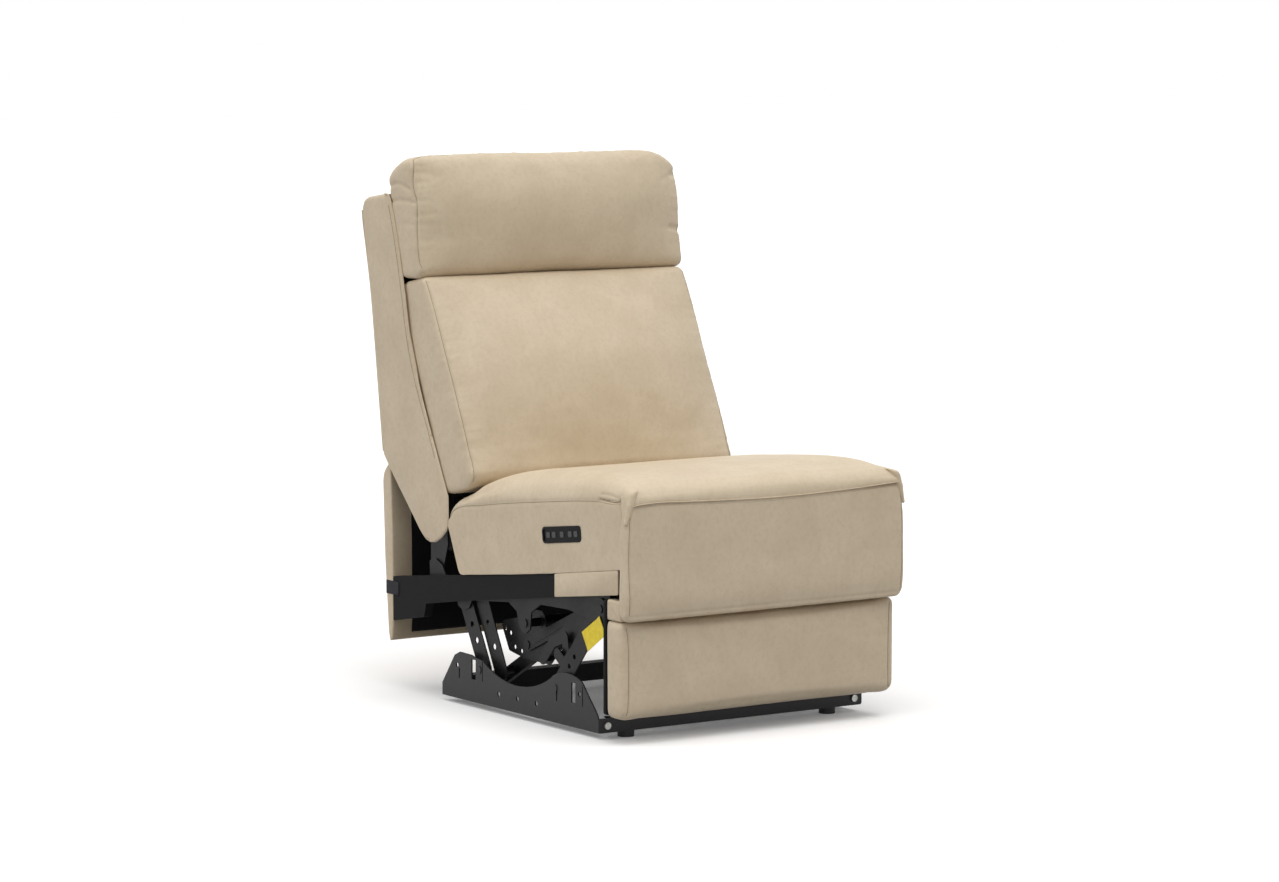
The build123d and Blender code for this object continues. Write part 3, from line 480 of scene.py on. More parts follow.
def lighter(colour, gain, lift=0.0):
    return tuple(min(1.0, c * gain + lift) for c in colour[:3]) + (1.0,)


def rgb(r, g, b):
    """A colour written as it looks on screen, 0 to 255, as the linear colour that shaders take."""
    linear = [((c / 255 + 0.055) / 1.055) ** 2.4 if c > 10 else c / 255 / 12.92 for c in (r, g, b)]
    return tuple(linear) + (1.0,)


def leather_look():
    look = Look("leather")
    pale, mid, deep = rgb(219, 203, 177), rgb(210, 193, 166), rgb(194, 176, 148)
    cloud = look.noise(70, 4, 0.55, 0.4)
    fine = look.noise(9, 3, 0.6)
    grain = look.cells(1.5, "SMOOTH_F1", 0.6)
    pores = look.noise(0.55, 2, 0.6)
    crease = look.noise(14, 5, 0.62, 1.2)
    colour = look.mix(look.span(cloud, 0.32, 0.68), mid, pale)
    colour = look.mix(look.span(fine, 0.45, 0.75, 0, 0.35), colour, deep)
    colour = look.mix(look.span(grain, 0.30, 0.75, 0, 0.22), colour, deep)
    rough = look.span(look.math("ADD", fine, pores), 0.7, 1.3, 0.46, 0.60)
    normal = look.bump(crease, 0.10, 1.2)
    normal = look.bump(grain, 0.22, 0.35, normal)
    normal = look.bump(pores, 0.12, 0.12, normal)
    return look.done(colour, rough, normal, Specular_IOR_Level=0.38, Sheen_Weight=0.06, Sheen_Roughness=0.5)


def thread_look():
    look = Look("thread")
    twist = look.noise(0.5, 2, 0.6, 0, (1, 1, 3))
    colour = look.mix(look.span(twist, 0.35, 0.65), rgb(176, 158, 132), rgb(206, 190, 166))
    return look.done(colour, 0.62, look.bump(twist, 0.4, 0.1), Sheen_Weight=0.2)


def steel_look(name="black_steel", dark=rgb(31, 30, 32), pale=rgb(43, 42, 44), gloss=0.34):
    look = Look(name)
    cloud = look.noise(60, 4, 0.6)
    dust = look.noise(7, 4, 0.65)
    orange_peel = look.noise(0.9, 2, 0.5)
    edge = look.math("MULTIPLY", look.edges(1.0), look.span(dust, 0.4, 0.7, 0.2, 1.0))
    colour = look.mix(look.span(cloud, 0.3, 0.7), dark, pale)
    colour = look.mix(look.span(dust, 0.5, 0.8, 0, 0.35), colour, lighter(pale, 2.2))
    colour = look.mix(look.math("MULTIPLY", edge, 0.45), colour, rgb(120, 119, 118))
    rough = look.span(look.math("ADD", cloud, dust), 0.7, 1.3, 0.34, 0.52)
    normal = look.bump(orange_peel, 0.10, 0.15)
    return look.done(colour, rough, normal, Metallic=0.2, Specular_IOR_Level=gloss)


def zinc_look():
    look = Look("zinc_steel")
    spangle = look.cells(5.0)
    scratch = look.noise(4, 4, 0.7, 0, (1, 1, 14))
    colour = look.mix(look.span(spangle, 0.1, 0.7), rgb(150, 150, 148), rgb(184, 184, 180))
    colour = look.mix(look.math("MULTIPLY", look.edges(0.8), 0.5), colour, rgb(214, 213, 208))
    rough = look.span(scratch, 0.3, 0.7, 0.28, 0.5)
    return look.done(colour, rough, look.bump(scratch, 0.12, 0.1), Metallic=0.9)


def wood_look():
    look = Look("plywood")
    ring = look.noise(22, 4, 0.55, 2.2, (1, 1, 0.16))
    pore = look.noise(1.6, 2, 0.6, 0, (1, 1, 0.06))
    colour = look.mix(look.span(ring, 0.35, 0.65), rgb(168, 135, 94), rgb(201, 170, 126))
    colour = look.mix(look.span(pore, 0.52, 0.7, 0, 0.5), colour, rgb(122, 92, 60))
    rough = look.span(pore, 0.3, 0.7, 0.6, 0.78)
    return look.done(colour, rough, look.bump(pore, 0.3, 0.3))


def weave_look(name, dark, pale, thread, slope=0.5):
    """Plain-woven cloth: two crossed sets of threads, thread millimetres wide."""
    look = Look(name)
    split = look.node("SeparateXYZ", {0: look.where})
    x, y, z = (split.outputs[axis] for axis in "XYZ")
    sum_yz = look.math("ADD", y, look.math("MULTIPLY", z, 0.37))
    sets = []
    for a in (look.math("ADD", x, sum_yz), look.math("SUBTRACT", z, look.math("MULTIPLY", y, 0.61))):
        sets.append(look.math("SINE", look.math("MULTIPLY", a, 2 * math.pi * 1000 / (2 * thread)), 0.0))
    over = look.math("MULTIPLY", sets[0], sets[1])
    fuzz = look.noise(0.8, 3, 0.7)
    cloud = look.noise(45, 4, 0.6)
    colour = look.mix(look.span(over, -0.7, 0.7), dark, pale)
    colour = look.mix(look.span(cloud, 0.4, 0.75, 0, 0.4), colour, pale)
    normal = look.bump(over, slope, thread * 0.35)
    normal = look.bump(fuzz, 0.25, 0.2, normal)
    rough = look.span(fuzz, 0.3, 0.7, 0.77, 0.93)
    return look.done(colour, rough, normal, Sheen_Weight=0.05, Specular_IOR_Level=0.15)


def plastic_look(name, dark, pale, rough, grain=0.6, strength=0.2, coat=0.0, gloss=0.4):
    look = Look(name)
    cloud = look.noise(26, 4, 0.6)
    skin = look.noise(grain, 2, 0.6)
    colour = look.mix(look.span(cloud, 0.35, 0.7), dark, pale)
    colour = look.mix(look.math("MULTIPLY", look.edges(0.6), 0.3), colour, lighter(pale, 2.2, 0.01))
    roughness = look.span(look.math("ADD", cloud, skin), 0.7, 1.3, rough - 0.06, rough + 0.08)
    normal = look.bump(skin, strength, 0.12)
    return look.done(colour, roughness, normal, Coat_Weight=coat, Coat_Roughness=0.08, Specular_IOR_Level=gloss)


def label_look():
    look = Look("yellow_label")
    cloud = look.noise(12, 4, 0.6)
    colour = look.mix(look.span(cloud, 0.35, 0.7), rgb(236, 208, 0), rgb(250, 226, 8))
    scuff = look.noise(2.2, 4, 0.7)
    colour = look.mix(look.span(scuff, 0.6, 0.75, 0, 0.5), colour, rgb(214, 186, 20))
    return look.done(colour, look.span(scuff, 0.3, 0.7, 0.32, 0.5), look.bump(scuff, 0.15, 0.15))


THREAD = thread_look()
LINK_STEEL = steel_look("link_steel", rgb(13, 13, 14), rgb(21, 21, 22), 0.24)
LINING = weave_look("lining", rgb(12, 12, 14), rgb(20, 20, 22), 1.0, 0.35)
WEBBING = weave_look("webbing", rgb(30, 30, 33), rgb(66, 66, 70), 1.6, 0.7)
# Colour of the cords laid in seams and dart folds: partly thread, partly painted shade standing in for the shadow
# in their grooves.
SEAM_THREAD_AND_SHADE = weave_look("seam_thread_and_painted_shade", rgb(118, 101, 78), rgb(146, 129, 105), 0.6, 0.5)
LABEL = label_look()

SLOT_LOOKS = {
    "leather": leather_look(),
    "black_steel": steel_look(),
    "zinc_steel": zinc_look(),
    "plywood": wood_look(),
    "rail_cloth": weave_look("rail_cloth", rgb(12, 12, 13), rgb(20, 20, 22), 0.7),
    "webbing": WEBBING,
    "glide_plastic": plastic_look("glide_plastic", rgb(24, 24, 26), rgb(38, 38, 40), 0.5),
    "motor_plastic": plastic_look("motor_plastic", rgb(28, 28, 31), rgb(44, 44, 48), 0.42, 0.9, 0.3),
    "bezel_plastic": plastic_look("bezel_plastic", rgb(3, 3, 4), rgb(6, 6, 7), 0.24, 0.5, 0.03, 0.0, 0.08),
    "button_plastic": plastic_look("button_plastic", rgb(10, 10, 12), rgb(19, 19, 22), 0.26, 0.5, 0.1, 0.1, 0.35),
}

# Nodes whose look differs from their slot's: timber that the photograph shows black, and the
# darker paint of the linkage and of the back's brackets.
DARK_NODES = dict.fromkeys(
    ("back_post_left", "back_post_right", "back_lower_rail", "rear_rail", "front_rail", "ottoman_board"), LINING
) | dict.fromkeys((
    "back_brackets", "front_swing_links", "rear_swing_links", "seat_plates", "hangers", "brace_channels",
    "brace_tube", "main_links", "turning_links", "long_links", "second_links", "drive_links",
    "crank_plates", "torque_tube", "ottoman_brackets", "headrest_arms",
), LINK_STEEL)


def dress(obj, material):
    obj.data.materials.clear()
    obj.data.materials.append(material)
    return obj


def dress_frame():
    """Every CAD node gets its own look from DARK_NODES, or else its slot's."""
    slots = {part["node"]: part["material_slot"] for part in frame["record"]["subparts"]}
    for name, solid in frame["nodes"].items():
        for holder in solid.material_slots:
            holder.material = DARK_NODES.get(name, SLOT_LOOKS[slots[name]])


def soft(obj, body, slot_name, replaced=(), material=None):
    """Finishes a soft piece: attaches it to its body (none for a blended one), hides the nodes it stands for and
    gives it its material, its slot's look unless another is given.
    """
    dress(obj, material or SLOT_LOOKS[slot_name])
    if body:
        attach(obj, body)
    if replaced:
        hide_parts(*replaced)
    return obj


# ---------------------------------------------------------------- camera, light and floor


def camera():
    data = bpy.data.cameras.new("camera")
    cam = add_object("camera", data)
    turn, dip = math.radians(34.12128), math.radians(5.99646)
    cam.location = (-4.7698, -7.0840, 1.3950)
    cam.rotation_euler = (math.pi / 2 - dip, 0, -turn)
    data.sensor_fit, data.sensor_width, data.lens = "HORIZONTAL", 36.0, 127.08
    data.clip_start, data.clip_end = 0.1, 60
    scene.camera = cam


def sun(name, strength, width, azimuth, height):
    """A soft lamp from an azimuth (0 is the front, 90 the sitter's left) and a height in degrees."""
    data = bpy.data.lights.new(name, "SUN")
    data.energy, data.angle = strength, math.radians(width)
    lamp = add_object(name, data)
    a, e = math.radians(azimuth), math.radians(height)
    back = Vector((math.sin(a) * math.cos(e), -math.cos(a) * math.cos(e), math.sin(e)))
    lamp.rotation_euler = (-back).to_track_quat("-Z", "Y").to_euler()


def empty_tree(owner):
    owner.use_nodes = True
    owner.node_tree.nodes.clear()
    return owner.node_tree


def seen(tree):
    """1 on camera, glossy and transmission rays, 0 on the rays that carry light."""
    rays = node(tree, "LightPath")
    total = rays.outputs["Is Camera Ray"]
    for name in ("Is Glossy Ray", "Is Transmission Ray"):
        total = node(tree, "Math", {0: total, 1: rays.outputs[name]}, operation="ADD", use_clamp=True).outputs[0]
    return total


def light():
    """A glow that is brighter above than below, white where it is seen, and two soft suns."""
    world = bpy.data.worlds.new("studio")
    scene.world = world
    tree = empty_tree(world)
    where = node(tree, "TexCoord").outputs["Generated"]
    height = node(tree, "SeparateXYZ", {0: where}).outputs["Z"]
    limits = {"From Min": -0.3, "From Max": 1.0, "To Min": 0.19, "To Max": 0.86}
    strength = node(tree, "MapRange", {"Value": height} | limits).outputs["Result"]
    glow = node(tree, "Background", {"Color": (1.0, 0.985, 0.975, 1.0), "Strength": strength})
    plain = node(tree, "Background", {"Color": (1, 1, 1, 1), "Strength": 1.0})
    pick = node(tree, "MixShader", {"Fac": seen(tree), 1: glow.outputs[0], 2: plain.outputs[0]})
    node(tree, "OutputWorld", {"Surface": pick.outputs[0]})
    sun("top", 1.25, 50, -8, 72)
    sun("side", 0.52, 50, -108, 34)


def floor():
    """A pale floor that shows white to the camera and keeps the object's shadow."""
    size = 30.0
    corners = [(-size, -size, 0), (size, -size, 0), (size, size, 0), (-size, size, 0)]
    obj = mesh_object("floor", corners, [(0, 1, 2, 3)])
    mat = bpy.data.materials.new("floor")
    tree = empty_tree(mat)
    look = seen(tree)
    tones = {0: look, 6: (0.36, 0.36, 0.36, 1), 7: (0.95, 0.95, 0.95, 1)}
    tone = node(tree, "Mix", tones, data_type="RGBA").outputs[2]
    diffuse = node(tree, "BsdfDiffuse", {"Color": tone})
    lift = node(tree, "Math", {0: look, 1: 0.12}, operation="MULTIPLY")
    glow = node(tree, "Emission", {"Strength": lift.outputs[0]})
    both = node(tree, "AddShader", {0: diffuse.outputs[0], 1: glow.outputs[0]})
    node(tree, "OutputMaterial", {"Surface": both.outputs[0]})
    dress(obj, mat)


# ---------------------------------------------------------------- seat cushion

SEAT = 302.6
# the middle of the front panel's round top, and the radius of the seat's leather around it
PANEL_TOP, ROLL = (14.0, 433.0), 14.8
WELT_Z = curve([
    (-303, 437), (-292, 439.5), (-269, 441.5), (-245, 442.4), (-198, 440.8), (-127, 438.2),
    (17, 435.4), (165, 438.8), (260, 443.5), (303, 446),
])
# the seat's top from its front welt to its rear: back, height in the middle, height at the sewn
# sides, squareness of the shoulder between the two
SEAT_TOP = np.array([
    (-1.2, 436, 436, 30), (-0.9, 443, 441, 30), (0.8, 450, 446, 30), (4, 456.5, 450, 30),
    (9, 462, 453, 30), (15, 466.5, 455.5, 30), (24, 471, 456.5, 28), (32, 474.3, 452, 22),
    (40, 477.2, 443, 17), (50, 480, 438.8, 15), (70, 483, 437.4, 14), (100, 484.3, 437, 14),
    (140, 483, 435, 14), (187, 479, 430, 14), (240, 474.5, 424.4, 13.5), (300, 469.5, 417.5, 13),
    (350, 465, 411.6, 13), (400, 459.5, 405.4, 13), (445, 453.5, 399.5, 13), (480, 447, 394.5, 12.5),
    (510, 440, 390, 12), (530, 433, 386.7, 12), (545, 424, 384, 11), (560, 415, 381.5, 11),
    (580, 409, 378, 10), (595, 402, 374, 10), (605, 393, 369, 9), (612, 380, 362, 9),
    (618, 366, 352, 8), (622, 350, 343, 8),
], float)
SEAT_LOW = [
    (28.8, 436), (28.6, 421), (28.4, 321.4), (43, 319.2), (268, 288.2), (572, 251.2), (580, 251.6),
    (586, 257), (622, 343),
]


def across(half, edge, step):
    """Positions across a piece, closer together towards its two sides."""
    d = [0.0]
    while d[-1] < edge:
        d.append(d[-1] + 0.7 + 0.2 * d[-1])
    d = [v for v in d if v < half]
    inner = np.linspace(-half + d[-1], half - d[-1], int((2 * half - 2 * d[-1]) / step) + 1)
    return np.r_[-half + np.array(d[:-1]), inner, (half - np.array(d[:-1]))[::-1]]


def corner_back(x):
    """How far back the seat's front edge lies at x, rounding its two corners."""
    return 3.2 * max(0, (abs(x) - 285) / 17.6) ** 2


def seat_pad():
    xs, count = across(SEAT, 44, 9), 112
    run = np.r_[0, np.cumsum(np.hypot(np.diff(SEAT_TOP[:, 0]), np.diff(SEAT_TOP[:, 1])))]
    at = np.r_[np.linspace(0, 30, 12)[:-1], np.linspace(30, run[-1], count - 11)]
    back, mid, side, power = columns(SEAT_TOP, run, at)
    top, low = [], []
    for x in xs:
        part = min(1.0, abs(x) / SEAT)
        z = side + (mid - side) * np.sqrt(np.maximum(1 - part ** power, 0))
        welt = float(WELT_Z(x))
        near = np.clip(1 - at / 22.0, 0, 1)
        z = z + (welt - z[0]) * near
        corner = corner_back(x)
        y = back + corner * near
        top.append(place(x, y, z))
        start = math.pi - math.asin(min(0.97, (welt - PANEL_TOP[1]) / ROLL))
        a = np.linspace(start, 0.2, 22)
        arc = np.stack([PANEL_TOP[0] + ROLL * np.cos(a), PANEL_TOP[1] + ROLL * np.sin(a)], -1)
        arc[0, 0] += corner
        under = even(np.vstack([arc, SEAT_LOW]), count, False)
        under[-1] = (622, side[-1] - 1)
        low.append(place(x, under[:, 0], under[:, 1]))
    top, low = np.array(top), np.array(low)
    rows = np.linspace(0, 1, 22)[:, None, None]
    walls = [top[k] * (1 - rows) + low[k] * rows for k in (0, -1)]
    ends = [np.stack([top[:, k], low[:, k]]) for k in (0, -1)]
    return sewn_grids("seat_pad", [top, low] + walls + ends)


def sewn_grids(name, grids):
    """Several grids of points joined along their common edges into one closed skin."""
    points, faces = [], []
    for grid in grids:
        base = len(points)
        rows, cols = grid.shape[:2]
        points += list(grid.reshape(-1, 3))
        faces += [
            (base + i * cols + j, base + i * cols + j + 1, base + (i + 1) * cols + j + 1, base + (i + 1) * cols + j)
            for i in range(rows - 1)
            for j in range(cols - 1)
        ]
    obj = mesh_object(name, points, faces)
    tidy = bmesh.new()
    tidy.from_mesh(obj.data)
    bmesh.ops.remove_doubles(tidy, verts=tidy.verts, dist=1e-5)
    bmesh.ops.dissolve_degenerate(tidy, edges=tidy.edges, dist=1e-6)
    bmesh.ops.recalc_face_normals(tidy, faces=tidy.faces)
    tidy.to_mesh(obj.data)
    tidy.free()
    obj.data.polygons.foreach_set("use_smooth", [True] * len(obj.data.polygons))
    return obj


def side_path(x, points):
    """A seam on a side face: its (back, height) points at x, smoothed."""
    points = np.array(points, float)
    run = lengths(points)
    y, z = columns(points, run, np.linspace(0, run[-1], max(8, int(run[-1] / 3))))
    return place(x, y, z)


def on_both_sides(*lines):
    """Seams on the left side face and then on the right, from (distance from the middle, side path)."""
    return [Seam(side_path(sign * x, path)) for sign in (-1, 1) for x, path in lines]


def down_both_ends(x, y, z):
    """Seams down the two ends of a front face y back, at distances x from the middle and heights z."""
    return [Seam(place(sign * np.array(x), y, np.array(z))) for sign in (-1, 1)]


def seat_seams():
    return on_both_sides(
        (SEAT, [
            (34, 442.5), (44, 439.2), (60, 437.6), (112, 437), (152, 433.8), (240, 424.4),
            (340, 412.8), (428, 402), (510, 390), (590, 376.2), (604, 369.5), (616, 356),
        ]),
        (SEAT, [(31, 440), (29.5, 424), (29.2, 380), (29.2, 330)]),
    )


def darts():
    return on_both_sides(
        (SEAT - 0.4, [(33, 444), (41, 441.4), (72, 441.2), (101, 441.5)]),
        (SEAT - 3.5, [(42, 447.5), (63, 450), (84, 451), (99, 449.6)]),
    )


def ear(sign):
    """The gathered corner where the seat's leather turns down over the front panel's end."""
    table = np.array([
        (469, 21, 284, 9, 5), (465.5, 17, 290.5, 15.5, 8), (460, 16.5, 294, 17.5, 9.8),
        (454, 16.5, 296.2, 17.8, 10), (447, 15.5, 298, 17.2, 9.6), (440, 14, 300, 15.5, 8.8),
        (432, 12.6, 302, 13.4, 7.8), (424, 10.4, 304.4, 10.4, 6.2), (417, 8.2, 306.6, 7.4, 4.4),
        (411, 6.3, 308.6, 4.6, 3.1), (406.5, 5.0, 309.6, 2.4, 2.0), (404.2, 4.6, 310.2, 0.9, 0.9),
    ], float)
    at = np.linspace(0, 1, 46)
    z, y, x, a, b = columns(table, np.linspace(0, 1, len(table)), at)
    turn = np.linspace(0, 2 * math.pi, 48, endpoint=False)
    cy, cx = (np.sign(f(turn)) * np.abs(f(turn)) ** 0.85 for f in (np.cos, np.sin))
    rings = []
    for k in range(len(at)):
        rings.append(place(sign * (x[k] + b[k] * cx), y[k] + a[k] * cy, z[k]))
    obj = loft("ear", rings if sign < 0 else [r[::-1] for r in rings])
    subdivide(obj)
    tip = (5.5, 407)
    folds = [
        [(26, 452), (22, 440), (15, 424), tip],
        [(12, 455), (13, 440), (10, 424), tip],
        [(1, 441), (3, 430), (4, 418), tip],
    ]
    tree = surface(obj)
    lines = [Seam(on_surface(tree, side_path(sign * 311, f))[0]) for f in folds]
    sew(obj, lines, depth=1.1, width=2.2, pull=0.5, reach=8, size=0.008, seed=31)
    return obj


# ---------------------------------------------------------------- back cushion and headrest


def swept(name, outline, half, edge=9.0, bulge=None, step=8.0, count=150):
    """A side outline carried across X, its ends drawn in by edge; bulge(x, ring, normals) may move the points."""
    inner = np.arange(-half + edge, half - edge + 0.1, step)
    a = np.linspace(0, math.pi / 2, 6)
    xs = np.r_[(-half + edge * (1 - np.sin(a[::-1])))[:-1], inner, (half - edge * (1 - np.sin(a)))[1:]]
    base = even(outline, count)
    out = np.roll(base, -1, 0) - np.roll(base, 1, 0)
    out = np.stack([out[:, 1], -out[:, 0]], -1)
    out /= np.linalg.norm(out, axis=1)[:, None]
    if np.sum(base[:, 0] * np.roll(base[:, 1], -1) - np.roll(base[:, 0], -1) * base[:, 1]) < 0:
        out = -out
    rings = []
    for x in xs:
        over = max(abs(x) - (half - edge), 0.0)
        inset = edge - math.sqrt(max(edge ** 2 - over ** 2, 0.0))
        ring = base - out * inset
        if bulge is not None:
            ring = bulge(x, ring, out)
        rings.append(place(x, ring[:, 0], ring[:, 1]))
    return loft(name, rings)


BACK_SEAM = [
    (708.5, 803), (704, 796.5), (683.4, 760), (641.5, 674.5), (599.8, 588.1), (560, 503), (531, 440),
    (530, 431), (536, 423),
]


def back_pad():
    outline = rounded(
        [
            lean(4, 0), lean(420, 0), lean(424, -20), lean(409, -90), lean(200, -101), lean(0, -108),
            lean(-12, -80), lean(-2, -20),
        ],
        [6, 14, 20, 20, 60, 24, 26, 10],
    )
    up_way, deep_way = lean(1, 0) - lean(0, 0), lean(0, 1) - lean(0, 0)
    crown = curve([
        (0, -14), (30, -5), (60, 9), (100, 27), (140, 41), (180, 49), (220, 53), (260, 52), (300, 46),
        (340, 35), (375, 21), (400, 8), (420, 0),
    ])

    def bulge(x, ring, out):
        rel = ring - lean(0, 0)
        up, deep = rel @ up_way, rel @ deep_way
        wide = (1 - (abs(x) / 300.0) ** 2.6) ** 0.8 if abs(x) < 300 else 0.0
        front = np.clip((-deep - 60) / 40, 0, 1)
        rear = np.clip((deep + 24) / 24, 0, 1) * np.clip((up - 20) / 60, 0, 1)
        flank = 12 * np.clip((abs(x) - 268) / 20, 0, 1) * rear
        return ring + deep_way * (flank - wide * front * crown(up))[:, None]

    return swept("back_pad", outline, 300.0, 8.0, bulge)


HEAD_SIDE = [(708, 807), (716, 822), (729, 881), (732, 947), (744, 989), (744.5, 1022), (752, 1036)]


def head_pad():
    outline = rounded(
        [
            (783, 801), (724, 804.5), (712, 817), (728, 885), (732, 947), (741, 1000), (744, 1037),
            (788, 1031), (818, 1016), (834, 1000), (822, 929),
        ],
        [8, 10, 14, 50, 50, 40, 14, 30, 20, 14, 40],
    )
    crown = curve([
        (812, 0), (822, 4), (840, 14), (870, 28), (900, 37), (930, 40), (960, 39), (985, 33),
        (1005, 23), (1025, 10), (1040, 0),
    ])

    def bulge(x, ring, out):
        wide = max(0.0, 1 - (abs(x) / 305.0) ** 3) ** 0.7
        front = np.clip((775 - ring[:, 0]) / 25, 0, 1) * np.clip(-out[:, 0] + 0.3, 0, 1)
        moved = ring.copy()
        moved[:, 0] -= crown(ring[:, 1]) * wide * front
        top = np.clip((ring[:, 1] - 930) / 90, 0, 1)
        if x > 220:
            moved[:, 1] -= top * 46 * round_off((x - 220) / 87.0)
        elif x < -275:
            moved[:, 1] -= top * 18 * round_off((-x - 275) / 31.0)
        moved[:, 1] += top * (1.5 + 2.5 * math.exp(-((x + 200) / 90.0) ** 2)) * wide
        return moved

    return swept("headrest_pad", outline, 305.0, 9.0, bulge)


# ---------------------------------------------------------------- footrest and front panel

FOOT = 308.0


def foot_pad():
    outline = rounded([(26, 45), (26, 225), (76, 225), (76, 45)], [18, 8, 5, 8])

    def bulge(x, ring, out):
        wide = max(0.0, 1 - (abs(x) / FOOT) ** 8) ** 0.5
        rise = np.clip(1 - (np.abs(ring[:, 1] - 135) / 95) ** 4, 0, 1)
        moved = ring.copy()
        moved[:, 0] -= 5 * wide * rise * np.clip(-out[:, 0], 0, 1)
        low = np.clip((125 - ring[:, 1]) / 75, 0, 1)
        moved[:, 1] += low * 15 * round_off(max(abs(x) - 286, 0) / 22.3)
        return moved

    return swept("ottoman_leather", outline, FOOT, 9.0, bulge, step=7)


def front_leather():
    """The front panel: a rounded rectangle at each height, under a round top."""
    wide = curve([
        (228, 302), (231, 306.5), (237, 310), (252, 311.6), (338, 311.2), (403, 309.4), (423, 306.8),
        (435, 302.5), (447, 297),
    ])
    front = curve([(228, 9), (230, 6), (234, 4), (242, 2.6), (335, 0.2), (433, 0.8)])
    over = 433 + 13.9 * np.sin(np.linspace(0, math.pi / 2, 9)[1:])
    zs = np.r_[228.3, 229, 230.5, 233, 237, np.arange(242, 428, 7.5), 430, over]
    rings = []
    for z in zs:
        lift = max(0.0, z - 433.0)
        deep = math.sqrt(max(14.0 ** 2 - lift ** 2, 1.0))
        y0, y1 = (float(front(z)), 27.6) if z < 433 else (14 - deep + 0.4, 14 + deep)
        if z < 236:
            y1 = 27.6 - (236 - z) * 0.6
        w = float(wide(z))
        corner = min(7.0, (y1 - y0) * 0.45)
        radii = [corner, corner, corner * 0.6, corner * 0.6]
        ring = even(rounded([(-w, y0), (w, y0), (w, y1), (-w, y1)], radii), 220)
        puff = 2.0 * np.clip(1 - (ring[:, 0] / 300) ** 6, 0, 1) * (ring[:, 1] < y0 + 2)
        puff = puff * np.clip((z - 232) / 30, 0, 1) * np.clip((446 - z) / 20, 0, 1)
        rings.append(place(ring[:, 0], ring[:, 1] - puff, z))
    return loft("panel_leather", rings)


def bridge_leather():
    outline = rounded([(32, 226), (32, 264), (76, 264), (76, 226)], [5, 8, 5, 3])
    return swept("bridge_leather", outline, 305.0, 5.0, count=60)


# ---------------------------------------------------------------- shell and flap

SHELL_EDGES = (
    ((684, 303), (700, 307)), ((662, 305), (724, 329)), ((640, 316), (745, 349)), ((622, 331), (770, 373)),
    ((616.5, 358), (798, 400)), ((617, 396), (828, 430)), ((640, 440), (853, 458)), ((675, 508), (861, 508)),
    ((718, 597), (873, 597)), ((755, 700), (887, 700)), ((771, 775), (898, 776)), ((789, 850), (913, 850)),
    ((808, 915), (924.5, 908)), ((817, 940), (927, 930)), ((823, 953), (921, 944)), ((831, 960), (908, 952)),
    ((842, 961), (895, 954)),
)


SHELL_SEAM = [(660, 466), (687, 520), (727, 598), (764, 700), (780, 775), (798, 850), (817, 915), (826, 940)]
SHELL_REAR = [(855, 463), (861, 508), (873, 597), (887, 700), (898.5, 776), (914, 850), (927, 908), (929.5, 926)]


def shell_side(sign):
    front, rear = (np.array([p[k] for p in SHELL_EDGES], float) for k in (0, 1))
    run = lengths((front + rear) / 2)
    end = run[-1]
    s = (1 - np.cos(np.linspace(0, math.pi, 34))) / 2
    rings = []
    for t in np.linspace(0, end, 120):
        f, r = (between(t, run, edge) for edge in (front, rear))
        line = f + (r - f) * s[:, None]
        rim = min(1, t / 8, (end - t) / 8)
        inward = np.minimum(s, 1 - s) * np.linalg.norm(r - f)
        puff = 3.0 * np.clip(inward / 4, 0, 1) ** 0.5 * max(rim, 0.0) ** 0.5
        puff = puff + 3.5 * np.clip(inward / 60, 0, 1) * min(1, t / 80, (end - t) / 60)
        outer = place(sign * (303.4 + puff), line[:, 0], line[:, 1])
        inner = place(sign * 303.0, line[::-1, 0], line[::-1, 1])
        ring = np.vstack([outer, inner])
        rings.append(ring if sign < 0 else ring[::-1])
    return loft("side_leather_" + hand(sign), rings)


def rear_leather():
    outer = rounded([(848, 450), (855, 461), (897, 776), (929, 930), (909, 952), (833, 961)], [0, 8, 60, 14, 14, 0])
    inner = rounded([(833, 952), (903, 944), (920, 928), (888, 776), (847, 470), (841, 452)], [0, 10, 10, 60, 8, 0])
    outer, inner = (even(line, 100, False) for line in (outer, inner))
    rings = []
    for x in across(303.2, 30, 10):
        wide = max(0.0, 1 - (abs(x) / 303.2) ** 8) ** 0.5
        moved = np.vstack([outer, inner])
        bump = np.sin(np.linspace(0, math.pi, 100)) ** 0.4
        moved[:100, 0] += 4.5 * wide * bump - 1.5 * (1 - wide)
        rings.append(place(x, moved[:, 0], moved[:, 1]))
    return loft("rear_leather", rings)


FLAP = [
    (829, 140), (834, 95), (842, 93), (847, 110), (859, 250), (865.5, 404), (862, 420), (854, 430),
    (843, 440), (836, 430), (830.5, 300),
]


def flap_leather():
    outline = rounded(FLAP, [2, 3, 3, 10, 60, 16, 10, 10, 4, 4, 60])

    def bulge(x, ring, out):
        moved = ring.copy()
        moved[:, 0] += 2.5 * np.clip((300 - ring[:, 1]) / 200, 0, 1) * math.sin(x / 47.0) * 0.6
        return moved

    return swept("flap_leather", outline, 300.0, 3.0, bulge, step=10)


def flap_lining():
    """The black cloth sewn inside the flap, short of the leather's turned-in edge."""
    z = np.linspace(108, 428, 60)
    face = np.interp(z, [95, 140, 300, 430], [834, 829, 830.5, 836])
    rings = []
    for x in across(256.0, 10, 12):
        inset = 0.9 * max(0.0, 1 - (abs(x) / 256.0) ** 20)
        wave_out = 0.5 * np.sin(x / 33.0 + z / 60.0)
        front = place(x, face - 0.6 - inset - 0.4 * wave_out, z)
        back = place(x, face[::-1] + 0.6, z[::-1])
        rings.append(np.vstack([front, back]))
    return loft("flap_lining", rings)


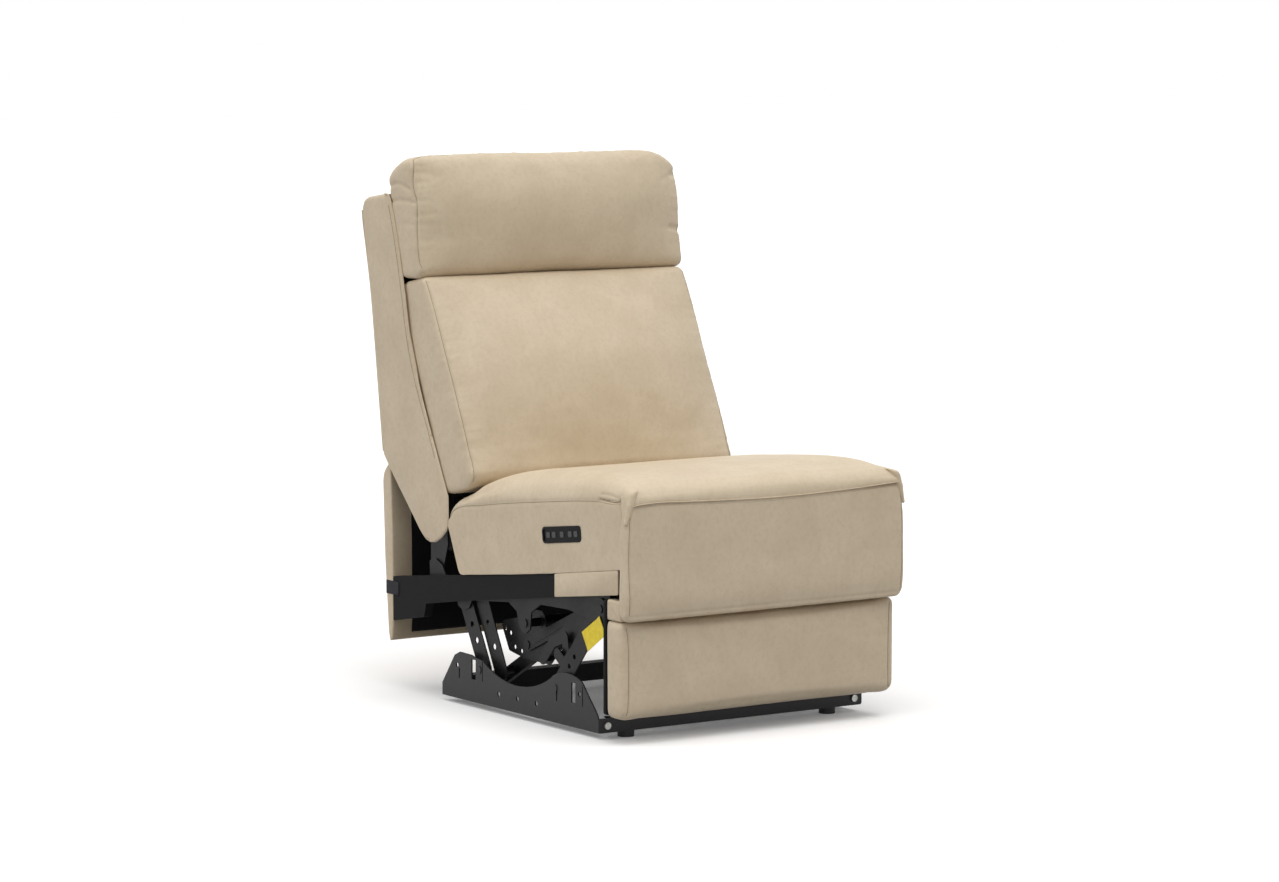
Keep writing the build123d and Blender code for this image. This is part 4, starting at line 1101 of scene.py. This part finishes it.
def facing_leather():
    made = []
    for sign in (-1, 1):
        ring = even(rounded([(43, 318.6), (251, 290), (251, 247), (43, 274)], [2, 2, 2, 4]), 150)
        rings = [place(sign * x, ring[:, 0], ring[:, 1]) for x in (300.0, 301.8, 302.4)]
        small = (ring - ring.mean(0)) * np.array([0.985, 0.95]) + ring.mean(0)
        rings.append(place(sign * 302.9, small[:, 0], small[:, 1]))
        made.append(loft("facing", rings if sign > 0 else rings[::-1]))
    return join("rail_leather", made)


# ---------------------------------------------------------------- making up the upholstery


def back_seams():
    return on_both_sides((296.5, BACK_SEAM)) + [Seam(place(np.linspace(-296, 296, 60), 541, 416))]


def head_seams():
    left = side_path(-300, HEAD_SIDE)
    right = side_path(300, [(708, 807), (716, 822), (727, 881), (733, 940), (744, 975), (747, 989)])
    xs = np.linspace(-292, 300, 80)
    top_z = np.interp(
        xs,
        [-300, -291, -274, -213, -50, 43, 137, 221, 262, 285, 300],
        [1034, 1040, 1043, 1043, 1040, 1038, 1039, 1039, 1030, 1014, 996],
    )
    top_y = np.interp(xs, [-300, -274, -200, 200, 300], [750, 756, 760, 760, 752])
    top = place(xs, top_y, top_z)
    return [Seam(np.vstack([left, top, right[::-1]]))]


def foot_seams():
    return down_both_ends([296.5, 294, 292.5, 292, 292, 293.5, 296], 21, [219, 200, 168, 130, 94, 66, 54])


def panel_seams():
    ends = down_both_ends([303.5, 305.5, 307, 306, 304.5, 305], 0.5, [424, 400, 343, 300, 271, 240])
    return ends + [Seam(place(np.linspace(-303, 303, 60), 3, 238.2))]


def fitted(obj, seams):
    """The seams laid exactly onto the finished surface."""
    tree = surface(obj)
    return [Seam(on_surface(tree, s.points)[0]) for s in seams]


def upholster():
    pads = {
        "seat": (seat_pad(), seat_seams(), 3.5, 5.0),
        "back": (back_pad(), back_seams(), 4.0, 8.0),
        "head": (head_pad(), head_seams(), 4.0, 8.0),
        "foot": (foot_pad(), foot_seams(), 3.0, 4.0),
    }
    for key in ("back", "head", "foot"):
        voxels(pads[key][0], 5.6)
    jobs = []
    for key, (obj, seams, pressure, cap) in pads.items():
        co = coords(obj) * 1000
        y, z = co[:, 1] + MID, co[:, 2]
        if key == "seat":
            held = (z < np.interp(y, SEAT_TOP[:, 0], SEAT_TOP[:, 2]) + 2) | (y < 36) | (y > 585)
        elif key == "back":
            held = (y - BACK_FOOT[0]) * 0.921 - (z - BACK_FOOT[1]) * 0.3896 > -45  # deep, as in lean()
        elif key == "head":
            held = y > np.interp(z, [801, 930, 1037], [768, 800, 800])
        else:
            held = y > 66
        jobs.append((obj, seams, held, pressure, cap))
    swell(jobs)
    for pad in pads.values():
        subdivide(pad[0])
    for (obj, seams, _, _), finish_pad in zip(pads.values(), (finish_seat, finish_back, finish_head, finish_foot)):
        finish_pad(obj, fitted(obj, seams))
    finish_panel()


def row(name, tree, seams, offsets, body, **size):
    """The closed seams' dark lines, partly thread and partly painted shade, and the visible stitching beside them,
    riding on a body.
    """
    seam_lines(name + "_seam", tree, seams, body)
    lines = [beside(tree, s, o) for s in seams for o in offsets]
    obj = stitches(name, lines, **size)
    return soft(obj, body, "leather", material=THREAD)


def seam_lines(name, tree, seams, body):
    """The line that lies in a closed seam: a darker cord, partly the thread's colour and partly painted shade
    standing in for the groove's shadow.
    """
    cords = [tube("line", on_surface(tree, s.points)[0], 0.45, 6) for s in seams]
    return soft(join(name, cords), body, "leather", material=SEAM_THREAD_AND_SHADE)


def bezel_pocket(obj):
    """Sinks the left side face under the control panel, and the leather a little around its rim."""
    co = coords(obj)
    y, z = co[:, 1] * 1000 + MID - 226.0, co[:, 2] * 1000 - 365.0  # from the middle of the panel
    a = math.radians(-7)
    u, v = y * math.cos(a) + z * math.sin(a), -y * math.sin(a) + z * math.cos(a)
    inside = np.minimum(62.5 - np.abs(u), 12.5 - np.abs(v))
    left = co[:, 0] < -0.29
    sink = np.clip(inside / 1.5, 0, 1) * 8.5 * left
    rim = np.exp(-(np.clip(-inside, 0, None) / 6) ** 2) * (inside < 0) * 0.4 * left
    co[:, 0] += (sink + rim) / 1000
    move_points(obj, co)


def finish_seat(obj, seams):
    sew(obj, [seams[0], seams[2]], depth=1.5, width=2.6, pull=0.9, reach=20, size=0.012, seed=3)
    sew(obj, [seams[1], seams[3]], depth=0.9, width=2.2, pull=0.5, reach=10, size=0.014, seed=5)
    folds = fitted(obj, darts())
    sew(obj, [folds[0], folds[2]], depth=3.6, width=3.0, pull=0.6, reach=12, size=0.01, seed=7)
    sew(obj, [folds[1], folds[3]], depth=1.6, width=4.0, pull=0, seed=8)
    relax(obj, 1.6, 0.16, 2)
    relax(obj, 0.45, 0.035, 4)
    bezel_pocket(obj)
    tree = surface(obj)
    welt = [place(x, corner_back(x) - 1.7, float(WELT_Z(x)) - 0.3) for x in np.linspace(-303, 303, 200)]
    cord = tube("front_welt", np.array(welt), 1.15, 10)
    gathers = join("corner_gathers", [ear(-1), ear(1)])
    for piece in (cord, gathers):
        soft(piece, None, "leather")
    soft(obj, None, "leather", ["seat_cushion"])
    for piece in (obj, cord, gathers):
        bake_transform(piece)
    row("seat_stitches", tree, [seams[0], seams[2]], (2.6,), "seat")
    # Darker cords in the front seams and the dart folds: painted shade of their grooves, partly thread colour.
    seam_lines("seat_front_seam_shade", tree, [seams[1], seams[3]], "seat")
    seam_lines("corner_dart_shade", tree, [folds[0], folds[2]], "seat")


def finish(obj, body, replaced, uneven, name, lines, offset=2.6, radius=0.3):
    """Ends a pad: its unevenness as (amount, size, seed), its stitching, and what it stands for."""
    for amount, size, seed in uneven:
        relax(obj, amount, size, seed)
    tree = surface(obj)
    row(name, tree, lines, (offset,), body, radius=radius)
    soft(obj, body, "leather", [replaced])
    return tree


def finish_back(obj, seams):
    sew(obj, seams[:2], depth=1.8, width=2.6, pull=1.1, reach=26, size=0.013, seed=11)
    sew(obj, seams[2:], depth=1.0, width=2.6, pull=0.4, reach=20, size=0.02, seed=12)
    uneven = (2.2, 0.17, 6), (0.5, 0.04, 7)
    finish(obj, "back", "back_cushion", uneven, "back_stitches", seams[:2], 2.8)


def finish_head(obj, seams):
    sew(obj, seams, depth=1.7, width=2.4, pull=1.3, reach=30, size=0.012, seed=17)
    creases = [
        Seam(side_path(-304.5, [(826, 975), (800, 982), (770, 979), (752, 972)])),
        Seam(side_path(-304.5, [(818, 948), (790, 950), (765, 951), (738, 947)])),
        Seam(place(np.linspace(288, 306, 12), 738, np.linspace(984, 992, 12))),
        Seam(place(np.linspace(270, 307, 20), 724, np.linspace(884, 877, 20))),
    ]
    creases = fitted(obj, creases)
    sew(obj, creases[:2], depth=2.2, width=4.5, pull=0, seed=18)
    sew(obj, creases[2:], depth=3.5, width=6.0, pull=0, seed=19)
    pulls = [
        Seam(place(np.linspace(-299, -299 + run, 16), 738, np.linspace(z, z + drop, 16)))
        for z, run, drop in ((1006, 30, -9), (985, 44, 5), (955, 26, -7), (921, 36, 6))
    ]
    sew(obj, fitted(obj, pulls), depth=0.7, width=6.0, pull=0, seed=20)
    # the line starts above the headrest's foot, which turns against the back cushion
    line = seams[0].points[seams[0].points[:, 2] > 0.824]
    uneven = (1.8, 0.15, 8), (0.5, 0.04, 9)
    finish(obj, "headrest", "headrest_cushion", uneven, "headrest_stitches", [Seam(line)])


def finish_foot(obj, seams):
    sew(obj, seams, depth=1.3, width=2.4, pull=0.6, reach=16, size=0.016, seed=23)
    uneven = (1.0, 0.14, 10), (0.35, 0.04, 11)
    finish(obj, "ottoman", "ottoman_pad", uneven, "ottoman_stitches", seams)


def finish_panel():
    obj = front_leather()
    voxels(obj, 5.0)
    subdivide(obj)
    seams = fitted(obj, panel_seams())
    sew(obj, seams, depth=1.1, width=2.4, pull=0.6, reach=16, size=0.016, seed=27)
    tree = finish(obj, "front_panel", "upper_panel", [(1.0, 0.15, 12)], "panel_stitches", seams[:2], radius=0.28)
    x = np.linspace(-296, 300, 260)
    top = Seam(place(x, 0.2, np.array([float(WELT_Z(v)) for v in x]) - 6.2))
    topstitch = stitches("panel_topstitch", [on_surface(tree, top.points)], pitch=4.2, length=2.9, radius=0.34)
    soft(topstitch, "front_panel", "leather", material=THREAD)


def cover():
    """The leather over the hard parts: bridge, shell, flap and rail facings."""
    soft(bridge_leather(), "ottoman", "leather", ["ottoman_bridge"])
    outline = rounded([(76.4, 52), (76.4, 262), (88.4, 262), (88.4, 52)], [2, 3, 5, 4])
    board = swept("footrest_backing", outline, 305.0, 4.0, count=90)
    soft(board, "ottoman", "rail_cloth", ["ottoman_board"], material=LINING)
    for sign in (-1, 1):
        obj = shell_side(sign)
        relax(obj, 0.9, 0.12, 14)
        tree = surface(obj)
        edge = fitted(obj, [Seam(side_path(sign * 306, SHELL_SEAM))])
        sew(obj, edge, depth=0.9, width=2.0, pull=0.5, reach=12, size=0.015, seed=33 + sign)
        tree = surface(obj)
        row("side_stitches_" + hand(sign), tree, edge, (-3.0, 3.0), "back")
        soft(obj, "back", "leather", ["side_panel_" + hand(sign)])
        front = [p[0] for p in SHELL_EDGES[7:]]
        for name, x, line, radius in (("side", 305.4, front, 1.5), ("rear", 304.0, SHELL_REAR, 1.6)):
            cord = tube(name + "_piping_" + hand(sign), side_path(sign * x, line), radius, 10)
            soft(cord, "back", "leather")
    obj = rear_leather()
    relax(obj, 1.2, 0.16, 15)
    soft(obj, "back", "leather", ["back_panel"])
    soft(flap_leather(), "seat", "leather", ["rear_flap"])
    soft(flap_lining(), "seat", "rail_cloth", material=LINING)
    soft(facing_leather(), "seat", "leather", ["rail_facings"])


# ---------------------------------------------------------------- straps, cloth and small parts


def strap(points, x, wide, thick=1.6):
    """A woven strap along a side path of (back, height) points, wide to each side of x."""
    points = np.array(points, float)
    path = even(points, max(12, int(lengths(points)[-1] / 9)), False)
    along = np.gradient(path, axis=0)
    along /= np.linalg.norm(along, axis=1)[:, None]
    out = np.stack([-along[:, 1], along[:, 0]], -1)
    s = np.linspace(-1, 1, 7)
    rings = []
    for p, o in zip(path, out):
        top = place(x + s * wide, p[0] + o[0] * thick / 2, p[1] + o[1] * thick / 2)
        low = place(x + s[::-1] * wide, p[0] - o[0] * thick / 2, p[1] - o[1] * thick / 2)
        rings.append(np.vstack([top, low]))
    return loft("strap", rings)


def webbing():
    """The webbing under the seat and inside the back, each strap bowed by 1.5 mm along its node's box."""

    def straps(name, stood_for, body, places, line):
        low, high = (np.array(corner) * 1000 + (0, MID, 0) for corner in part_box(stood_for))
        steps = np.linspace(0, 1, 24)
        made = [strap([line(low, high, t, 1.5 * math.sin(math.pi * t)) for t in steps], x, 25) for x in places]
        soft(join(name, made), body, "webbing", [stood_for])

    def under_seat(low, high, t, bow):
        return low[1] + (high[1] - low[1]) * t, high[2] - 1 - (high[2] - low[2] - 2) * t - bow

    def in_back(low, high, t, bow):
        return low[1] + 1 + (high[1] - low[1] - 2) * t + bow, low[2] + (high[2] - low[2]) * t

    straps("seat_straps", "seat_webbing", "seat", (-190, -64, 62, 188), under_seat)
    straps("back_straps", "back_webbing", "back", (-165, -55, 55, 165), in_back)


TAB_HEIGHT, TAB_FACE = 198.5, 300.6


def tabs():
    """The black strap ends that hold the flap: a strap made flat, then turned on its side."""
    made = []
    for sign in (-1, 1):
        tab = strap([(806, TAB_HEIGHT), (852, TAB_HEIGHT)], 0, 13, 1.2)
        co = coords(tab)
        out = co[:, 2] - TAB_HEIGHT / 1000
        move_points(tab, np.stack([sign * (TAB_FACE / 1000 + out), co[:, 1], TAB_HEIGHT / 1000 + co[:, 0]], -1))
        made.append(tab)
    soft(join("flap_tabs", made), "seat", "rail_cloth", ["strap_tabs"], material=WEBBING)


def sticker():
    """The blank yellow label wrapped on the left front swing link."""
    corners = np.array([(124, 226), (106, 193), (164, 155), (185, 189)], float)
    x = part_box("front_swing_links")[0][0] * 1000 - 0.25
    s = np.linspace(0, 1, 22)
    grids = []
    for thick in (0.0, -0.25):
        grid = []
        for u in s:
            a = corners[0] + (corners[3] - corners[0]) * u
            b = corners[1] + (corners[2] - corners[1]) * u
            line = a + (b - a) * s[:, None]
            curl = 2.2 * np.clip(0.2 - u, 0, 1) * 5 * (1 - s) + 1.2 * np.clip(s - 0.85, 0, 1) * 6 * u
            grid.append(place(x + thick - curl, line[:, 0], line[:, 1]))
        grids.append(np.array(grid))
    top, low = grids
    rims = [np.stack([top[k], low[k]]) for k in (0, -1)] + [np.stack([top[:, k], low[:, k]]) for k in (0, -1)]
    obj = sewn_grids("yellow_label", [top, low] + rims)
    soft(obj, "front_swing", "black_steel", material=LABEL)


camera()
light()
floor()
dress_frame()
upholster()
cover()
webbing()
tabs()
sticker()
